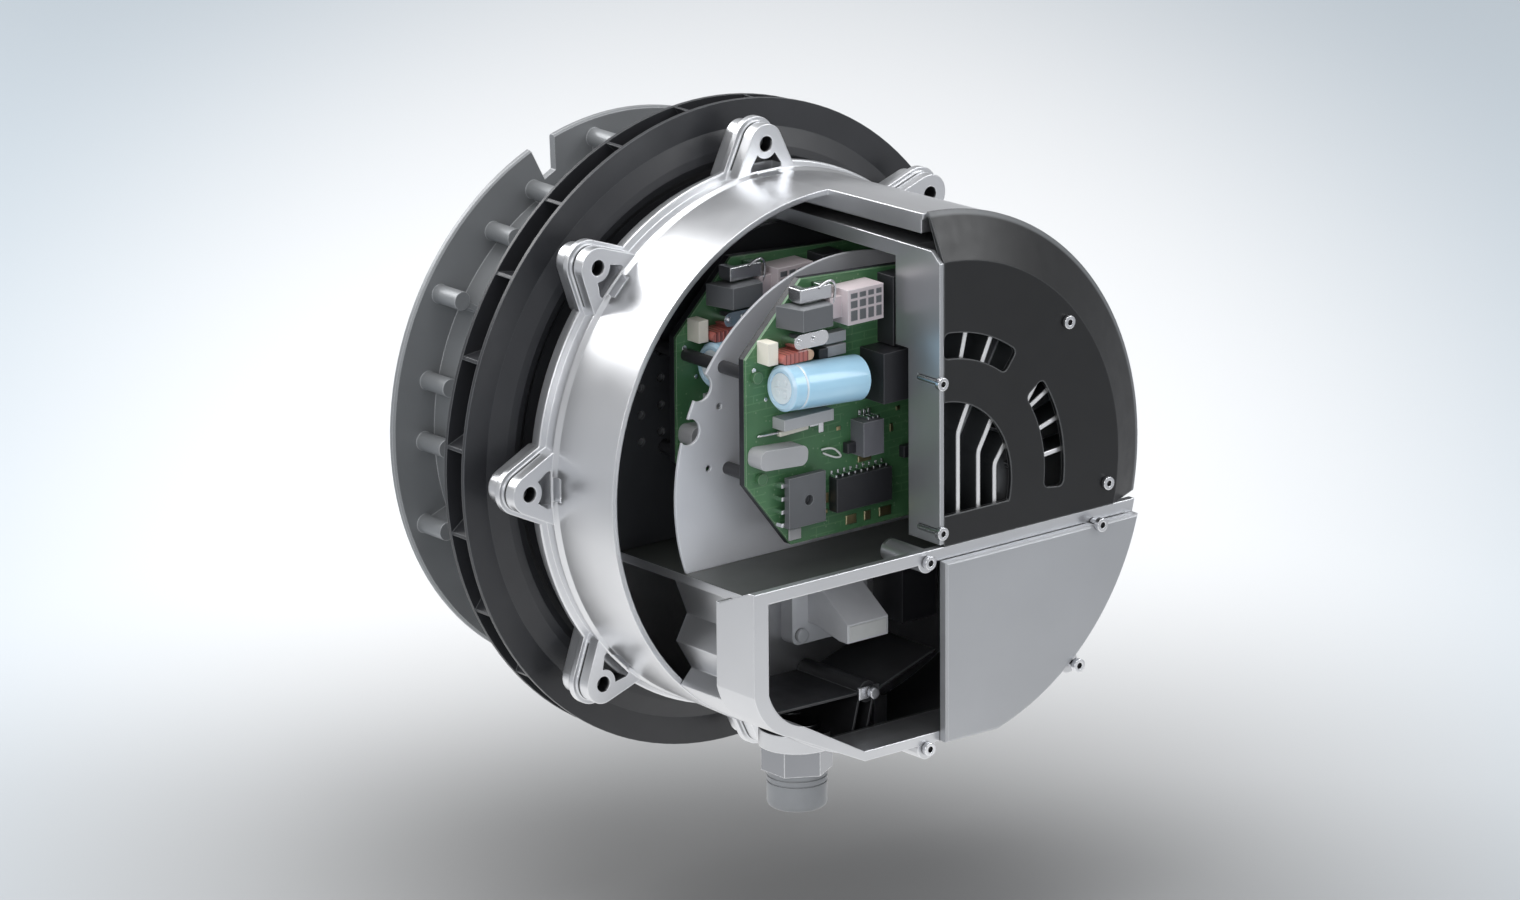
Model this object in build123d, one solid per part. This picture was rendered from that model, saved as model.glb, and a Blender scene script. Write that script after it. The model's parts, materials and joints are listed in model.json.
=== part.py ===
from build123d import *
import math
import os

# Electronically commutated external-rotor motor, shown as a cutaway.
# Millimetres. X is the shaft axis: +X looks to the electronics, -X to the shaft end. +Z is up.
# The origin is on the shaft axis, in the plane of the mounting lugs' front faces.
# The electronics side is opened for Y < 0: the cut leaves the half at Y > 0 covered.

# Mounting lugs and flange ring
LUG_COUNT = 8
LUG_PCD = 300.0
LUG_HOLE_R = 4.0
LUG_EAR_R = 10.0
LUG_BASE_HALF = 19.0
LUG_BOSS_BACK = -21.5
POCKET_HALF = 9.5
POCKET_DEPTH = 7.0
WEB_T = 0.5
RING_BACK = -19.0
LIP_BACK = -12.2
LIP_FRONT = -8.8
LIP_R = 138.4
LIP_HEIGHT = 2.2
GROOVE_R = 134.8

# Drum of the housing
DRUM_R = 136.0
DRUM_FLARE = 2.4
DRUM_WALL = 3.0
DRUM_CUT_X = 47.0
DRUM_END_X = 117.8
FLOOR_X0 = 2.0
FLOOR_T = 6.0
FLOOR_BORE_R = 45.0
RAIL_DEPTH = 10.0
RAIL_ARC = 4.0

# Fan cover
COVER_R = 139.0
COVER_RIM_X = 118.2
COVER_FACE_X = 130.4
COVER_FACE_R = 116.0
COVER_T = 2.5
COVER_BOTTOM_Z = -27.0
COVER_EYE_R = 46.0
COVER_EYE_BOTTOM_Z = -11.5
SLOT_R_IN = 67.6
SLOT_R_OUT = 80.4
SLOT_ARCS = ((52.0, 88.0), (-8.0, 35.0))

# Heat sink
SINK_BASE_X = 107.0
SINK_BASE_T = 5.0
SINK_RIM_R = 121.0
SINK_RIM_T = 7.5
SINK_PAD_X = 97.6
SINK_PAD_Z = 69.0
FIN_T = 2.2
FIN_OUTER_R = 112.0
FIN_INNER_R = 48.0
FIN_ANGLES = (5.0, 16.8, 28.4, 76.4)
BENT_FINS = ((14.0, 28.0, 64.4), (27.0, 16.0, 52.2), (37.5, 8.0, 40.0))
SECTION_FIN_T = 2.5

# Boards and the plate between them
BOARD_T = 1.6
CONTROL_BOARD_X = 81.7
BOARD_PITCH = 53.0
BOARD_OUTLINE = ((-82.5, 9.6), (-82.5, 73.0), (-47.6, 107.3), (45.0, 101.5), (82.5, 66.0),
                 (82.5, 0.0), (60.0, -25.0), (-54.9, -25.0))
PLATE_X = 57.0
PLATE_T = 1.6
PLATE_R = 106.5
PLATE_BITES = ((-90.5, 55.5, 7.0), (-97.5, 34.5, 6.5))
STANDOFFS = ((-76.5, 63.5), (-74.0, 12.0), (38.0, 90.0), (74.0, 8.0))
STANDOFF_R = 3.2
STANDOFF_HOLE_R = 1.7

# Capacitor on each board
CAPACITOR_R = 11.3
CAPACITOR_LENGTH = 49.0
CAPACITOR_Y = -45.8
CAPACITOR_Z = 57.4
CAPACITOR_TILT = 3.9

# Terminal box
SHELF_Z = -36.5
SHELF_T = 4.5
SHELF_RISE_X = 104.0
BOX_TOP_Z = -27.0
BOX_TOP_BAR = 6.3
BOX_WALL = 4.0
BOX_REAR_X = 47.4
BOX_BACK_T = 4.0
COLLAR_X = 101.6
BOX_FRONT_X = 130.0
BOX_R = 136.0
FOLDS = ((-99.4, -40.0), (-91.1, -60.9), (-98.1, -73.7), (-88.7, -89.2), (-95.7, -96.6))
COLLAR_LEFT_Y = -117.0
COLLAR_FLAT_Z = -125.5
COLLAR_R = 130.0
TERMINAL_COVER_T = 5.0
COVER_GAP = 0.3
SEAL_T = 2.0

# Cable gland
GLAND_X = 66.0
GLAND_Y = -37.6
GLAND_HEX_AF = 31.0
GLAND_HEX_TOP_Z = -134.5
GLAND_HEX_H = 13.0
GLAND_CAP_R = 15.0
GLAND_CAP_H = 19.0
GLAND_BORE_R = 8.5
GLAND_THREAD_R = 12.5

# Shaft and bearings
SHAFT_R = 14.0
SHAFT_END_X = -278.0
SHAFT_END_LENGTH = 60.0
SHAFT_BODY_R = 15.0
SHAFT_BACK_X = -33.0
KEYWAY_WIDTH = 8.0
KEYWAY_DEPTH = 4.0
KEYWAY_LENGTH = 45.0
KEYWAY_INSET = 6.0
BEARING_OUTER_R = 31.0
BEARING_WIDTH = 16.0
BEARING_RACE_T = 3.6
BEARING_BALLS = 7
BEARING_RUNNING_GAP = 0.1
DRIVE_BEARING_X = -196.0
REAR_BEARING_X = -62.0

# Rotor casting
DISC_FACE_X = -115.3
DISC_T = 4.0
DISC_R = 145.4
DISC_BEVEL = 1.0
NOTCH = ((145.4, 105.5), (128.0, 108.7), (127.0, 112.2), (145.4, 113.3))
POST_R = 4.75
POST_LENGTH = 18.5
POST_PERIODS = 7
POST_PATTERN = ((135.0, 0.0), (126.5, 19.0), (126.5, 33.0))
POST_START_ANGLE = 97.0
WALL_R = 120.0
WALL_T = 8.0
WALL_END_X = -50.0
POT_R = 75.0
POT_WALL = 5.0
POT_END_X = -205.0
NOSE_R = 32.0
NOSE_END_X = -218.0
SPOKE_COUNT = 14
SPOKE_T = 4.0
SPOKE_TOP_X = -148.0

# Magnetic circuit
YOKE_T = 4.0
MAGNET_T = 4.5
MAGNET_COUNT = 10
MAGNET_ARC = 33.0
AIR_GAP = 1.0
STACK_X0 = -188.0
STACK_LENGTH = 60.0
SLOT_COUNT = 12
TOOTH_WIDTH = 12.0
TOOTH_TIP_T = 3.0
SLOT_MOUTH = 3.0
STATOR_YOKE_T = 8.0
COIL_T = 4.2
COIL_GAP = 0.4
INSULATOR_T = 1.5
CARRIER_WALL = 5.0
CARRIER_FLANGE_R = 100.0
CARRIER_FLANGE_T = 6.0
CARRIER_SCREW_PCD_R = 91.0
CARRIER_SCREWS = 8

# Cooling wheel
WHEEL_R = 164.0
WHEEL_T = 1.8
SHROUD_R = 165.0
SHROUD_RIM_X = -33.0
SHROUD_T = 2.0
VANE_COUNT = 23
VANE_T = 1.6
VANE_INNER_R = 128.0
VANE_SWEEP = 9.0
WHEEL_HUB_R = 107.0
WHEEL_SCREW_R = 116.0

# Fits
PLATE_CLEARANCE = 0.3

parts = {}


# Helpers

def slab(outline, x0, x1):
    """A YZ outline pushed along the shaft axis from x0 to x1."""
    return extrude(Plane.YZ.offset(x0) * outline, amount=x1 - x0, dir=(1, 0, 0))


def across(outline, y0, y1):
    """An XZ outline pushed sideways from y0 to y1."""
    return extrude(Plane.XZ.offset(-y0) * outline, amount=y1 - y0, dir=(0, 1, 0))


def disc(x0, x1, r, r_in=0.0):
    outline = Circle(r)
    if r_in > 0:
        outline = outline - Circle(r_in)
    return slab(outline, x0, x1)


def turned(points):
    """A half profile of (x, radius) points turned about the shaft axis."""
    return revolve(Plane.XZ * Polygon(*points, align=None), Axis.X, 360)


def block(x0, x1, y0, y1, z0, z1):
    corner = (Align.MIN, Align.MIN, Align.MIN)
    return Pos(x0, y0, z0) * Box(x1 - x0, y1 - y0, z1 - z0, align=corner)


def rod(x0, x1, y, z, r):
    """A round bar along X."""
    return slab(Pos(y, z) * Circle(r), x0, x1)


def polar(r, angle):
    """A (y, z) point, with the angle in degrees from +Y towards +Z."""
    return (r * math.cos(math.radians(angle)), r * math.sin(math.radians(angle)))


def turn_x(angle, shape):
    return Rot(X=angle) * shape


def sector(r, start, end):
    """A YZ wedge from the axis, wide enough to cut a radius r."""
    reach = 2.0 * r
    middle = (start + end) / 2.0
    points = [(0, 0), polar(reach, start), polar(reach, middle), polar(reach, end)]
    return Polygon(*points, align=None)


def keep(shape, name):
    """Store a finished piece, and leave loose pieces as separate solids of one group."""
    solids = shape.solids()
    parts[name] = solids[0] if len(solids) == 1 else Compound(children=list(solids))
    parts[name].label = name


def group(shapes):
    return Compound(children=[solid for shape in shapes for solid in shape.solids()])


BIG = 400.0
RIGHT_HALF = block(-BIG, BIG, 0.0, BIG, -BIG, BIG)


# Rotating pieces

def make_shaft():
    shoulder_x = SHAFT_END_X + SHAFT_END_LENGTH
    shaft = turned([(SHAFT_END_X, 0), (SHAFT_END_X, SHAFT_R - 2.0), (SHAFT_END_X + 2.0, SHAFT_R),
                    (shoulder_x, SHAFT_R), (shoulder_x, SHAFT_BODY_R), (SHAFT_BACK_X - 1.5, SHAFT_BODY_R),
                    (SHAFT_BACK_X, SHAFT_BODY_R - 1.5), (SHAFT_BACK_X, 0)])
    keyway = Pos(SHAFT_END_X + KEYWAY_INSET + KEYWAY_LENGTH / 2, 0, SHAFT_R - KEYWAY_DEPTH) * extrude(
        SlotOverall(KEYWAY_LENGTH, KEYWAY_WIDTH), amount=SHAFT_R)
    keep(shaft - keyway, "shaft")


def post_places():
    for period in range(POST_PERIODS):
        for r, offset in POST_PATTERN:
            yield r, POST_START_ANGLE + period * 360.0 / POST_PERIODS + offset


def make_rotor_casting():
    back_x = DISC_FACE_X - DISC_T
    plate = turned([(back_x, WALL_R - WALL_T), (back_x, DISC_R - DISC_BEVEL), (back_x + DISC_BEVEL, DISC_R),
                    (DISC_FACE_X - DISC_BEVEL, DISC_R), (DISC_FACE_X, DISC_R - DISC_BEVEL),
                    (DISC_FACE_X, WALL_R), (WALL_END_X, WALL_R - 1.0), (WALL_END_X, WALL_R - WALL_T),
                    (DISC_FACE_X, WALL_R - WALL_T)])
    plate += disc(back_x, DISC_FACE_X, WALL_R - WALL_T + 1.0, POT_R - POT_WALL)
    notch = [polar(r + (12.0 if r > DISC_R - 1.0 else 0.0), a) for r, a in NOTCH]
    cut = slab(Polygon(*notch, align=None), back_x - 1.0, DISC_FACE_X + 1.0)
    plate -= cut
    inner_r = POT_R - POT_WALL
    pot = turned([(back_x, POT_R), (-190.0, POT_R), (-199.0, 60.0), (POT_END_X, 44.0), (NOSE_END_X, NOSE_R),
                  (NOSE_END_X, SHAFT_BODY_R), (DRIVE_BEARING_X, SHAFT_BODY_R), (DRIVE_BEARING_X, SHAFT_BODY_R + BEARING_RACE_T),
                  (-199.0, SHAFT_BODY_R + BEARING_RACE_T), (-199.0, 50.0), (-193.0, inner_r - 8.0),
                  (-190.5, inner_r), (DISC_FACE_X, inner_r), (DISC_FACE_X, POT_R)])
    casting = plate + pot
    posts = []
    for r, angle in post_places():
        y, z = polar(r, angle)
        post = rod(DISC_FACE_X - 0.5, DISC_FACE_X + POST_LENGTH, y, z, POST_R)
        web = block(DISC_FACE_X - 0.5, DISC_FACE_X + POST_LENGTH - 1.5, WALL_R - 3.0, r, -1.5, 1.5)
        posts.append(post + turn_x(angle, web))
    for post in posts:
        casting += post
    for i in range(SPOKE_COUNT):
        spoke = across(Polygon((back_x + 1.0, POT_R - 2.0), (back_x + 1.0, WALL_R + 12.0),
                               (back_x - 1.5, WALL_R + 12.0), (SPOKE_TOP_X, POT_R - 2.0), align=None),
                       -SPOKE_T / 2, SPOKE_T / 2)
        casting += turn_x(360.0 / SPOKE_COUNT * (i + 0.5), spoke)
    for i in range(POST_PERIODS):
        y, z = polar(WHEEL_SCREW_R, POST_START_ANGLE + i * 360.0 / POST_PERIODS)
        casting -= rod(WALL_END_X - 12.0, WALL_END_X + 1.0, y, z, 2.1)
    keep(casting, "rotor_casting")


def make_magnet_ring():
    yoke_r = POT_R - POT_WALL
    magnet_r = yoke_r - YOKE_T
    bore_r = magnet_r - MAGNET_T
    keep(disc(STACK_X0 - 1.0, STACK_X0 + STACK_LENGTH + 5.0, yoke_r, magnet_r), "rotor_yoke")
    ring = disc(STACK_X0, STACK_X0 + STACK_LENGTH, magnet_r, bore_r)
    magnets = []
    for i in range(MAGNET_COUNT):
        middle = i * 360.0 / MAGNET_COUNT
        wedge = slab(sector(magnet_r, middle - MAGNET_ARC / 2, middle + MAGNET_ARC / 2),
                     STACK_X0 - 1.0, STACK_X0 + STACK_LENGTH + 1.0)
        magnets.append(ring & wedge)
    keep(group(magnets), "rotor_magnets")


def shroud_profile(shift):
    """The front disc's face: flat at the rim, then a ridge, then a step back to the inlet."""
    return [(SHROUD_RIM_X + shift, SHROUD_R), (SHROUD_RIM_X + shift, 151.0), (-29.0 + shift, 142.0),
            (-28.0 + shift, 138.0), (-29.0 + shift, 134.0), (-32.0 + shift, 130.0), (-32.0 + shift, 124.0)]


def make_cooling_wheel():
    face_x = WALL_END_X + WHEEL_T
    wheel = disc(WALL_END_X, face_x, WHEEL_R, WHEEL_HUB_R)
    under_shroud = turned([(face_x - 0.5, VANE_INNER_R - 3.0)] + [(face_x - 0.5, WHEEL_R - 0.6)] +
                          [(x, min(r, WHEEL_R - 0.6)) for x, r in shroud_profile(-SHROUD_T)][:-1] +
                          [(-32.0 - SHROUD_T, VANE_INNER_R - 3.0)])
    for i in range(VANE_COUNT):
        angle = 81.0 + i * 360.0 / VANE_COUNT
        inner = polar(VANE_INNER_R, angle - VANE_SWEEP)
        middle = polar((VANE_INNER_R + WHEEL_R) / 2 + 1.0, angle - VANE_SWEEP * 0.42)
        outer = polar(WHEEL_R + 2.0, angle)
        centre_line = ThreePointArc(inner, middle, outer)
        vane = slab(trace_line(centre_line, VANE_T), face_x - 0.5, -27.0)
        wheel += vane & under_shroud
    for i in range(POST_PERIODS):
        y, z = polar(WHEEL_SCREW_R, POST_START_ANGLE + i * 360.0 / POST_PERIODS)
        wheel -= rod(WALL_END_X - 1.0, face_x + 1.0, y, z, 2.6)
    keep(wheel, "cooling_wheel")
    front = shroud_profile(0.0)
    back = shroud_profile(-SHROUD_T)
    keep(turned(front + list(reversed(back))), "cooling_wheel_front_disc")
    screws = []
    for i in range(POST_PERIODS):
        y, z = polar(WHEEL_SCREW_R, POST_START_ANGLE + i * 360.0 / POST_PERIODS)
        screws.append(rod(WALL_END_X - 10.0, face_x, y, z, 2.1) + rod(face_x, face_x + 3.0, y, z, 4.2))
    keep(group(screws), "wheel_screws")


def trace_line(line, width):
    """A strip of constant width along a planar line."""
    return make_face(offset(line, amount=width / 2, side=Side.BOTH, kind=Kind.TANGENT))


def make_bearings():
    outer_rings = []
    inner_rings = []
    balls = []
    ball_track_r = (BEARING_OUTER_R + SHAFT_BODY_R) / 2
    ball_r = (BEARING_OUTER_R - SHAFT_BODY_R) / 2 - BEARING_RACE_T + 1.3
    for x0 in (DRIVE_BEARING_X, REAR_BEARING_X):
        x1 = x0 + BEARING_WIDTH
        middle = (x0 + x1) / 2
        groove = revolve(Plane.XZ * Pos(middle, ball_track_r) * Circle(ball_r + BEARING_RUNNING_GAP), Axis.X, 360)
        outer_rings.append(disc(x0, x1, BEARING_OUTER_R, BEARING_OUTER_R - BEARING_RACE_T) - groove)
        inner_rings.append(disc(x0, x1, SHAFT_BODY_R + BEARING_RACE_T, SHAFT_BODY_R) - groove)
        for i in range(BEARING_BALLS):
            y, z = polar(ball_track_r, i * 360.0 / BEARING_BALLS)
            balls.append(Pos(middle, y, z) * Sphere(ball_r))
    keep(group(outer_rings), "bearing_outer_rings")
    keep(group(inner_rings), "bearing_inner_rings")
    keep(group(balls), "bearing_balls")
    ring_x = REAR_BEARING_X + BEARING_WIDTH
    keep(disc(ring_x, ring_x + 1.5, SHAFT_BODY_R + 3.0, SHAFT_BODY_R), "shaft_retaining_ring")


# Stator

def make_bearing_carrier():
    tube_r = BEARING_OUTER_R + CARRIER_WALL
    flange_x1 = FLOOR_X0
    flange_x0 = flange_x1 - CARRIER_FLANGE_T
    tube_x0 = DRIVE_BEARING_X
    step_r = BEARING_OUTER_R - BEARING_RACE_T
    carrier = turned([(tube_x0, BEARING_OUTER_R), (tube_x0, tube_r), (-60.0, tube_r), (-40.0, tube_r + 6.0),
                      (flange_x0 - 14.0, 66.0), (flange_x0, 72.0), (flange_x0, CARRIER_FLANGE_R),
                      (flange_x1, CARRIER_FLANGE_R), (flange_x1, 58.0), (-26.0, BEARING_OUTER_R + 3.0),
                      (-36.0, BEARING_OUTER_R), (REAR_BEARING_X, BEARING_OUTER_R), (REAR_BEARING_X, step_r),
                      (tube_x0 + BEARING_WIDTH, step_r), (tube_x0 + BEARING_WIDTH, BEARING_OUTER_R)])
    for i in range(CARRIER_SCREWS):
        y, z = polar(CARRIER_SCREW_PCD_R, i * 360.0 / CARRIER_SCREWS)
        carrier -= rod(flange_x0 - 1.0, flange_x1 + 1.0, y, z, 3.2)
    keep(carrier, "bearing_carrier")
    screws = []
    for i in range(CARRIER_SCREWS):
        y, z = polar(CARRIER_SCREW_PCD_R, i * 360.0 / CARRIER_SCREWS)
        screws.append(rod(flange_x0 - 5.0, flange_x0, y, z, 5.0) + rod(flange_x0, FLOOR_X0 + FLOOR_T - 1.0, y, z, 3.0))
    keep(group(screws), "carrier_screws")


def lamination(outer_r, inner_r, shrink):
    """Yoke ring, teeth and tooth tips with narrow mouths between them."""
    yoke_r = inner_r + STATOR_YOKE_T - shrink
    top_r = outer_r - TOOTH_TIP_T + shrink
    outline = Circle(yoke_r) - Circle(inner_r + shrink)
    tips = Circle(outer_r - shrink) - Circle(top_r)
    for i in range(SLOT_COUNT):
        angle = (i + 0.5) * 360.0 / SLOT_COUNT
        length = top_r - yoke_r + 2.0
        outline += Rot(Z=angle) * Pos((top_r + yoke_r) / 2, 0) * Rectangle(length, TOOTH_WIDTH - 2 * shrink)
        tips -= Rot(Z=angle + 180.0 / SLOT_COUNT) * Pos(outer_r, 0) * Rectangle(20.0, SLOT_MOUTH)
    return outline + tips


def make_stator():
    outer_r = POT_R - POT_WALL - YOKE_T - MAGNET_T - AIR_GAP
    inner_r = BEARING_OUTER_R + CARRIER_WALL
    x1 = STACK_X0 + STACK_LENGTH
    keep(slab(lamination(outer_r, inner_r, 0.0), STACK_X0, x1), "stator_core")
    ring_x0 = STACK_X0 - INSULATOR_T
    ring_x1 = x1 + INSULATOR_T
    collar = lamination(outer_r, inner_r, 0.5)
    keep(slab(collar, ring_x0, STACK_X0) + slab(collar, x1, ring_x1), "stator_end_insulators")
    half_width = TOOTH_WIDTH / 2 + COIL_T
    coil_low = inner_r + STATOR_YOKE_T + COIL_GAP
    coil_high = math.sqrt((outer_r - TOOTH_TIP_T) ** 2 - half_width ** 2) - COIL_GAP
    coil = block(ring_x0 - COIL_T, ring_x1 + COIL_T, coil_low, coil_high, -half_width, half_width)
    coil -= block(ring_x0, ring_x1, coil_low - 1.0, coil_high + 1.0, -TOOTH_WIDTH / 2, TOOTH_WIDTH / 2)
    coils = [turn_x((i + 0.5) * 360.0 / SLOT_COUNT, coil) for i in range(SLOT_COUNT)]
    keep(group(coils), "stator_coils")


# Housing

def lug_outline(grow):
    """An ear round the bolt hole, with straight sides that run down to the flange ring; local x is radial."""
    r = LUG_PCD / 2
    ear = LUG_EAR_R + grow
    base = LUG_BASE_HALF + grow
    base_r = GROOVE_R - 1.0
    reach = math.hypot(r - base_r, base)
    tangent_angle = math.atan2(base, base_r - r) - math.acos(ear / reach)
    tip = (r + ear * math.cos(tangent_angle), ear * math.sin(tangent_angle))
    foot_r = base_r - 3.0
    side = Polygon((foot_r, -base), (base_r, -base), (tip[0], -tip[1]), (r, 0), (tip[0], tip[1]),
                   (base_r, base), (foot_r, base), align=None)
    return side + Pos(r, 0) * Circle(ear)


def make_lug():
    """A thick ear in front, a thin lip round it that runs on as the ring's lip, and a boss behind."""
    lug = slab(lug_outline(0.0), LIP_FRONT - 0.5, 0.0)
    lug += slab(lug_outline(LIP_HEIGHT), LIP_BACK, LIP_FRONT)
    lug += slab(lug_outline(-LIP_HEIGHT / 2), LUG_BOSS_BACK, LIP_BACK + 0.5)
    return lug


def lug_pocket():
    """The cored pocket between the bolt hole and the drum, with a thin web across it."""
    r = LUG_PCD / 2
    low = GROOVE_R - 3.0
    web_r = DRUM_R + 1.0
    outline = Polygon((low, -POCKET_HALF), (web_r + 2.0, -POCKET_HALF), (r - 4.0, -POCKET_HALF / 2),
                      (r - 4.0, POCKET_HALF / 2), (web_r + 2.0, POCKET_HALF), (low, POCKET_HALF), align=None)
    outline -= Pos(r, 0) * Circle(LUG_HOLE_R + 3.4)
    outer = outline & Pos(web_r + 20.0, 0) * Rectangle(40.0, 60.0)
    inner = outline & Pos(web_r - 20.0, 0) * Rectangle(40.0, 60.0)
    flank = inner & Pos(low, 0) * Rectangle(40.0, 1.3 * POCKET_HALF)
    return (slab(outer, -POCKET_DEPTH, 1.0) + slab(inner, -POCKET_DEPTH, -WEB_T)
            + slab(flank, WEB_T, POCKET_DEPTH - 1.0))


def make_housing():
    x_end = DRUM_END_X
    end_r = DRUM_R + DRUM_FLARE
    floor_x1 = FLOOR_X0 + FLOOR_T
    housing = turned([(RING_BACK, GROOVE_R - 5.0), (RING_BACK, GROOVE_R), (LIP_BACK, GROOVE_R + 0.4),
                      (LIP_BACK, LIP_R - 0.5), (LIP_BACK + 0.5, LIP_R), (LIP_FRONT - 0.5, LIP_R),
                      (LIP_FRONT, LIP_R - 0.5), (LIP_FRONT + 0.6, GROOVE_R), (-0.4, DRUM_R + 0.6),
                      (0.3, DRUM_R + 0.4), (3.0, GROOVE_R + 0.6), (DRUM_CUT_X, DRUM_R + 0.5), (x_end, end_r),
                      (x_end, end_r - DRUM_WALL), (DRUM_CUT_X, DRUM_R + 0.5 - DRUM_WALL),
                      (floor_x1, GROOVE_R - DRUM_WALL + 0.6), (floor_x1, FLOOR_BORE_R), (FLOOR_X0, FLOOR_BORE_R),
                      (FLOOR_X0, GROOVE_R - 5.0)])
    for i in range(LUG_COUNT):
        housing += turn_x(i * 360.0 / LUG_COUNT, make_lug())
    for i in range(LUG_COUNT):
        housing -= turn_x(i * 360.0 / LUG_COUNT, lug_pocket())
        y, z = polar(LUG_PCD / 2, i * 360.0 / LUG_COUNT)
        housing -= rod(LUG_BOSS_BACK - 1.0, 1.0, y, z, LUG_HOLE_R)
    for i in range(CARRIER_SCREWS):
        y, z = polar(CARRIER_SCREW_PCD_R, i * 360.0 / CARRIER_SCREWS)
        housing -= rod(FLOOR_X0 - 1.0, FLOOR_X0 + FLOOR_T - 1.0, y, z, 3.0)
    housing -= block(DRUM_CUT_X, x_end + 1.0, -BIG, 0.0, -BIG, BIG)
    housing -= block(DRUM_CUT_X, COLLAR_X - 0.1, -1.0, BIG, -BIG, SHELF_Z + 0.1)
    housing -= block(COLLAR_X - 0.2, x_end + 1.0, -1.0, BIG, -BIG, BOX_TOP_Z + 0.1)
    rail_end = x_end - 1.0
    rail = turned([(floor_x1 - 1.0, DRUM_R - RAIL_DEPTH), (floor_x1 - 1.0, GROOVE_R - 1.0), (DRUM_CUT_X, DRUM_R - 1.0),
                   (rail_end, DRUM_R + DRUM_FLARE - 1.0), (rail_end, DRUM_R + DRUM_FLARE - RAIL_DEPTH)])
    housing += rail & slab(sector(DRUM_R, 90.0 - RAIL_ARC, 90.0), 0.0, x_end)
    keep(housing, "housing")


def make_floor_liner():
    x0 = FLOOR_X0 + FLOOR_T
    liner = disc(x0, x0 + 1.5, SINK_RIM_R - SINK_RIM_T - 1.0, 42.0)
    left = slab(sector(DRUM_R, 120.0, 200.0) & Circle(DRUM_R - DRUM_WALL - 2.0), x0, x0 + 1.5)
    liner += left
    liner &= block(x0 - 1.0, x0 + 3.0, -BIG, BIG, SHELF_Z + PLATE_CLEARANCE, BIG)
    for row in range(4):
        for column, y in enumerate((-75.5, -88.0, -63.0)):
            liner -= rod(x0 - 1.0, x0 + 3.0, y, 60.5 - 13.6 * row - 3.0 * column, 2.2)
    for y, z in STANDOFFS:
        liner -= rod(x0 - 1.0, x0 + 3.0, y, z, STANDOFF_R + 0.2)
    keep(liner, "floor_liner")


# Electronics

def board_face():
    return Polygon(*BOARD_OUTLINE, align=None)


def make_boards():
    for name, x0 in (("control_board", CONTROL_BOARD_X), ("power_board", CONTROL_BOARD_X - BOARD_PITCH)):
        board = slab(board_face(), x0, x0 + BOARD_T)
        for y, z in STANDOFFS:
            board -= rod(x0 - 1.0, x0 + BOARD_T + 1.0, y, z, STANDOFF_HOLE_R)
        keep(board, name)
    plate = slab(Circle(PLATE_R) & Pos(0, SHELF_Z + PLATE_R) * Rectangle(4 * PLATE_R, 2 * PLATE_R),
                 PLATE_X, PLATE_X + PLATE_T)
    for y, z, r in PLATE_BITES:
        plate -= rod(PLATE_X - 1.0, PLATE_X + PLATE_T + 1.0, y, z, r)
    for y, z in ((-79.0, 44.0), (-86.0, 14.0)):
        plate -= rod(PLATE_X - 1.0, PLATE_X + PLATE_T + 1.0, y, z, 1.6)
    for y, z in STANDOFFS:
        plate -= rod(PLATE_X - 1.0, PLATE_X + PLATE_T + 1.0, y, z, STANDOFF_HOLE_R)
    keep(plate, "partition_plate")
    levels = [FLOOR_X0 + FLOOR_T, CONTROL_BOARD_X - BOARD_PITCH, CONTROL_BOARD_X - BOARD_PITCH + BOARD_T,
              PLATE_X, PLATE_X + PLATE_T, CONTROL_BOARD_X]
    spacers = []
    screws = []
    for y, z in STANDOFFS:
        for x0, x1 in ((levels[0], levels[1]), (levels[2], levels[3]), (levels[4], levels[5])):
            hole = rod(x0, x1, y, z, STANDOFF_HOLE_R)
            spacers.append(rod(x0, x1, y, z, STANDOFF_R) - hole)
        top = CONTROL_BOARD_X + BOARD_T
        screws.append(rod(levels[0], top, y, z, STANDOFF_HOLE_R - 0.2) + rod(top, top + 2.2, y, z, 2.9))
    keep(group(spacers), "board_spacers")
    keep(group(screws), "board_screws")


def both_boards(make):
    """The same piece on the control board and on the power board."""
    face_x = CONTROL_BOARD_X + BOARD_T
    return [make(face_x), make(face_x - BOARD_PITCH)]


def capacitor(x):
    """A can lying on the board, with a rolled groove near its vented end."""
    r = CAPACITOR_R
    half = CAPACITOR_LENGTH / 2
    profile = Polygon((0, -half), (r - 1.5, -half), (r, -half + 1.5), (r, half - 9.5), (r - 0.9, half - 8.5),
                      (r, half - 7.5), (r, half - 1.5), (r - 1.5, half), (r - 3.0, half), (r - 3.4, half - 0.8),
                      (0, half - 0.8), align=None)
    can = revolve(Plane.XZ * profile, Axis.Z, 360)
    return Pos(x + r, CAPACITOR_Y, CAPACITOR_Z) * Rot(X=90.0 - CAPACITOR_TILT) * can


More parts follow.
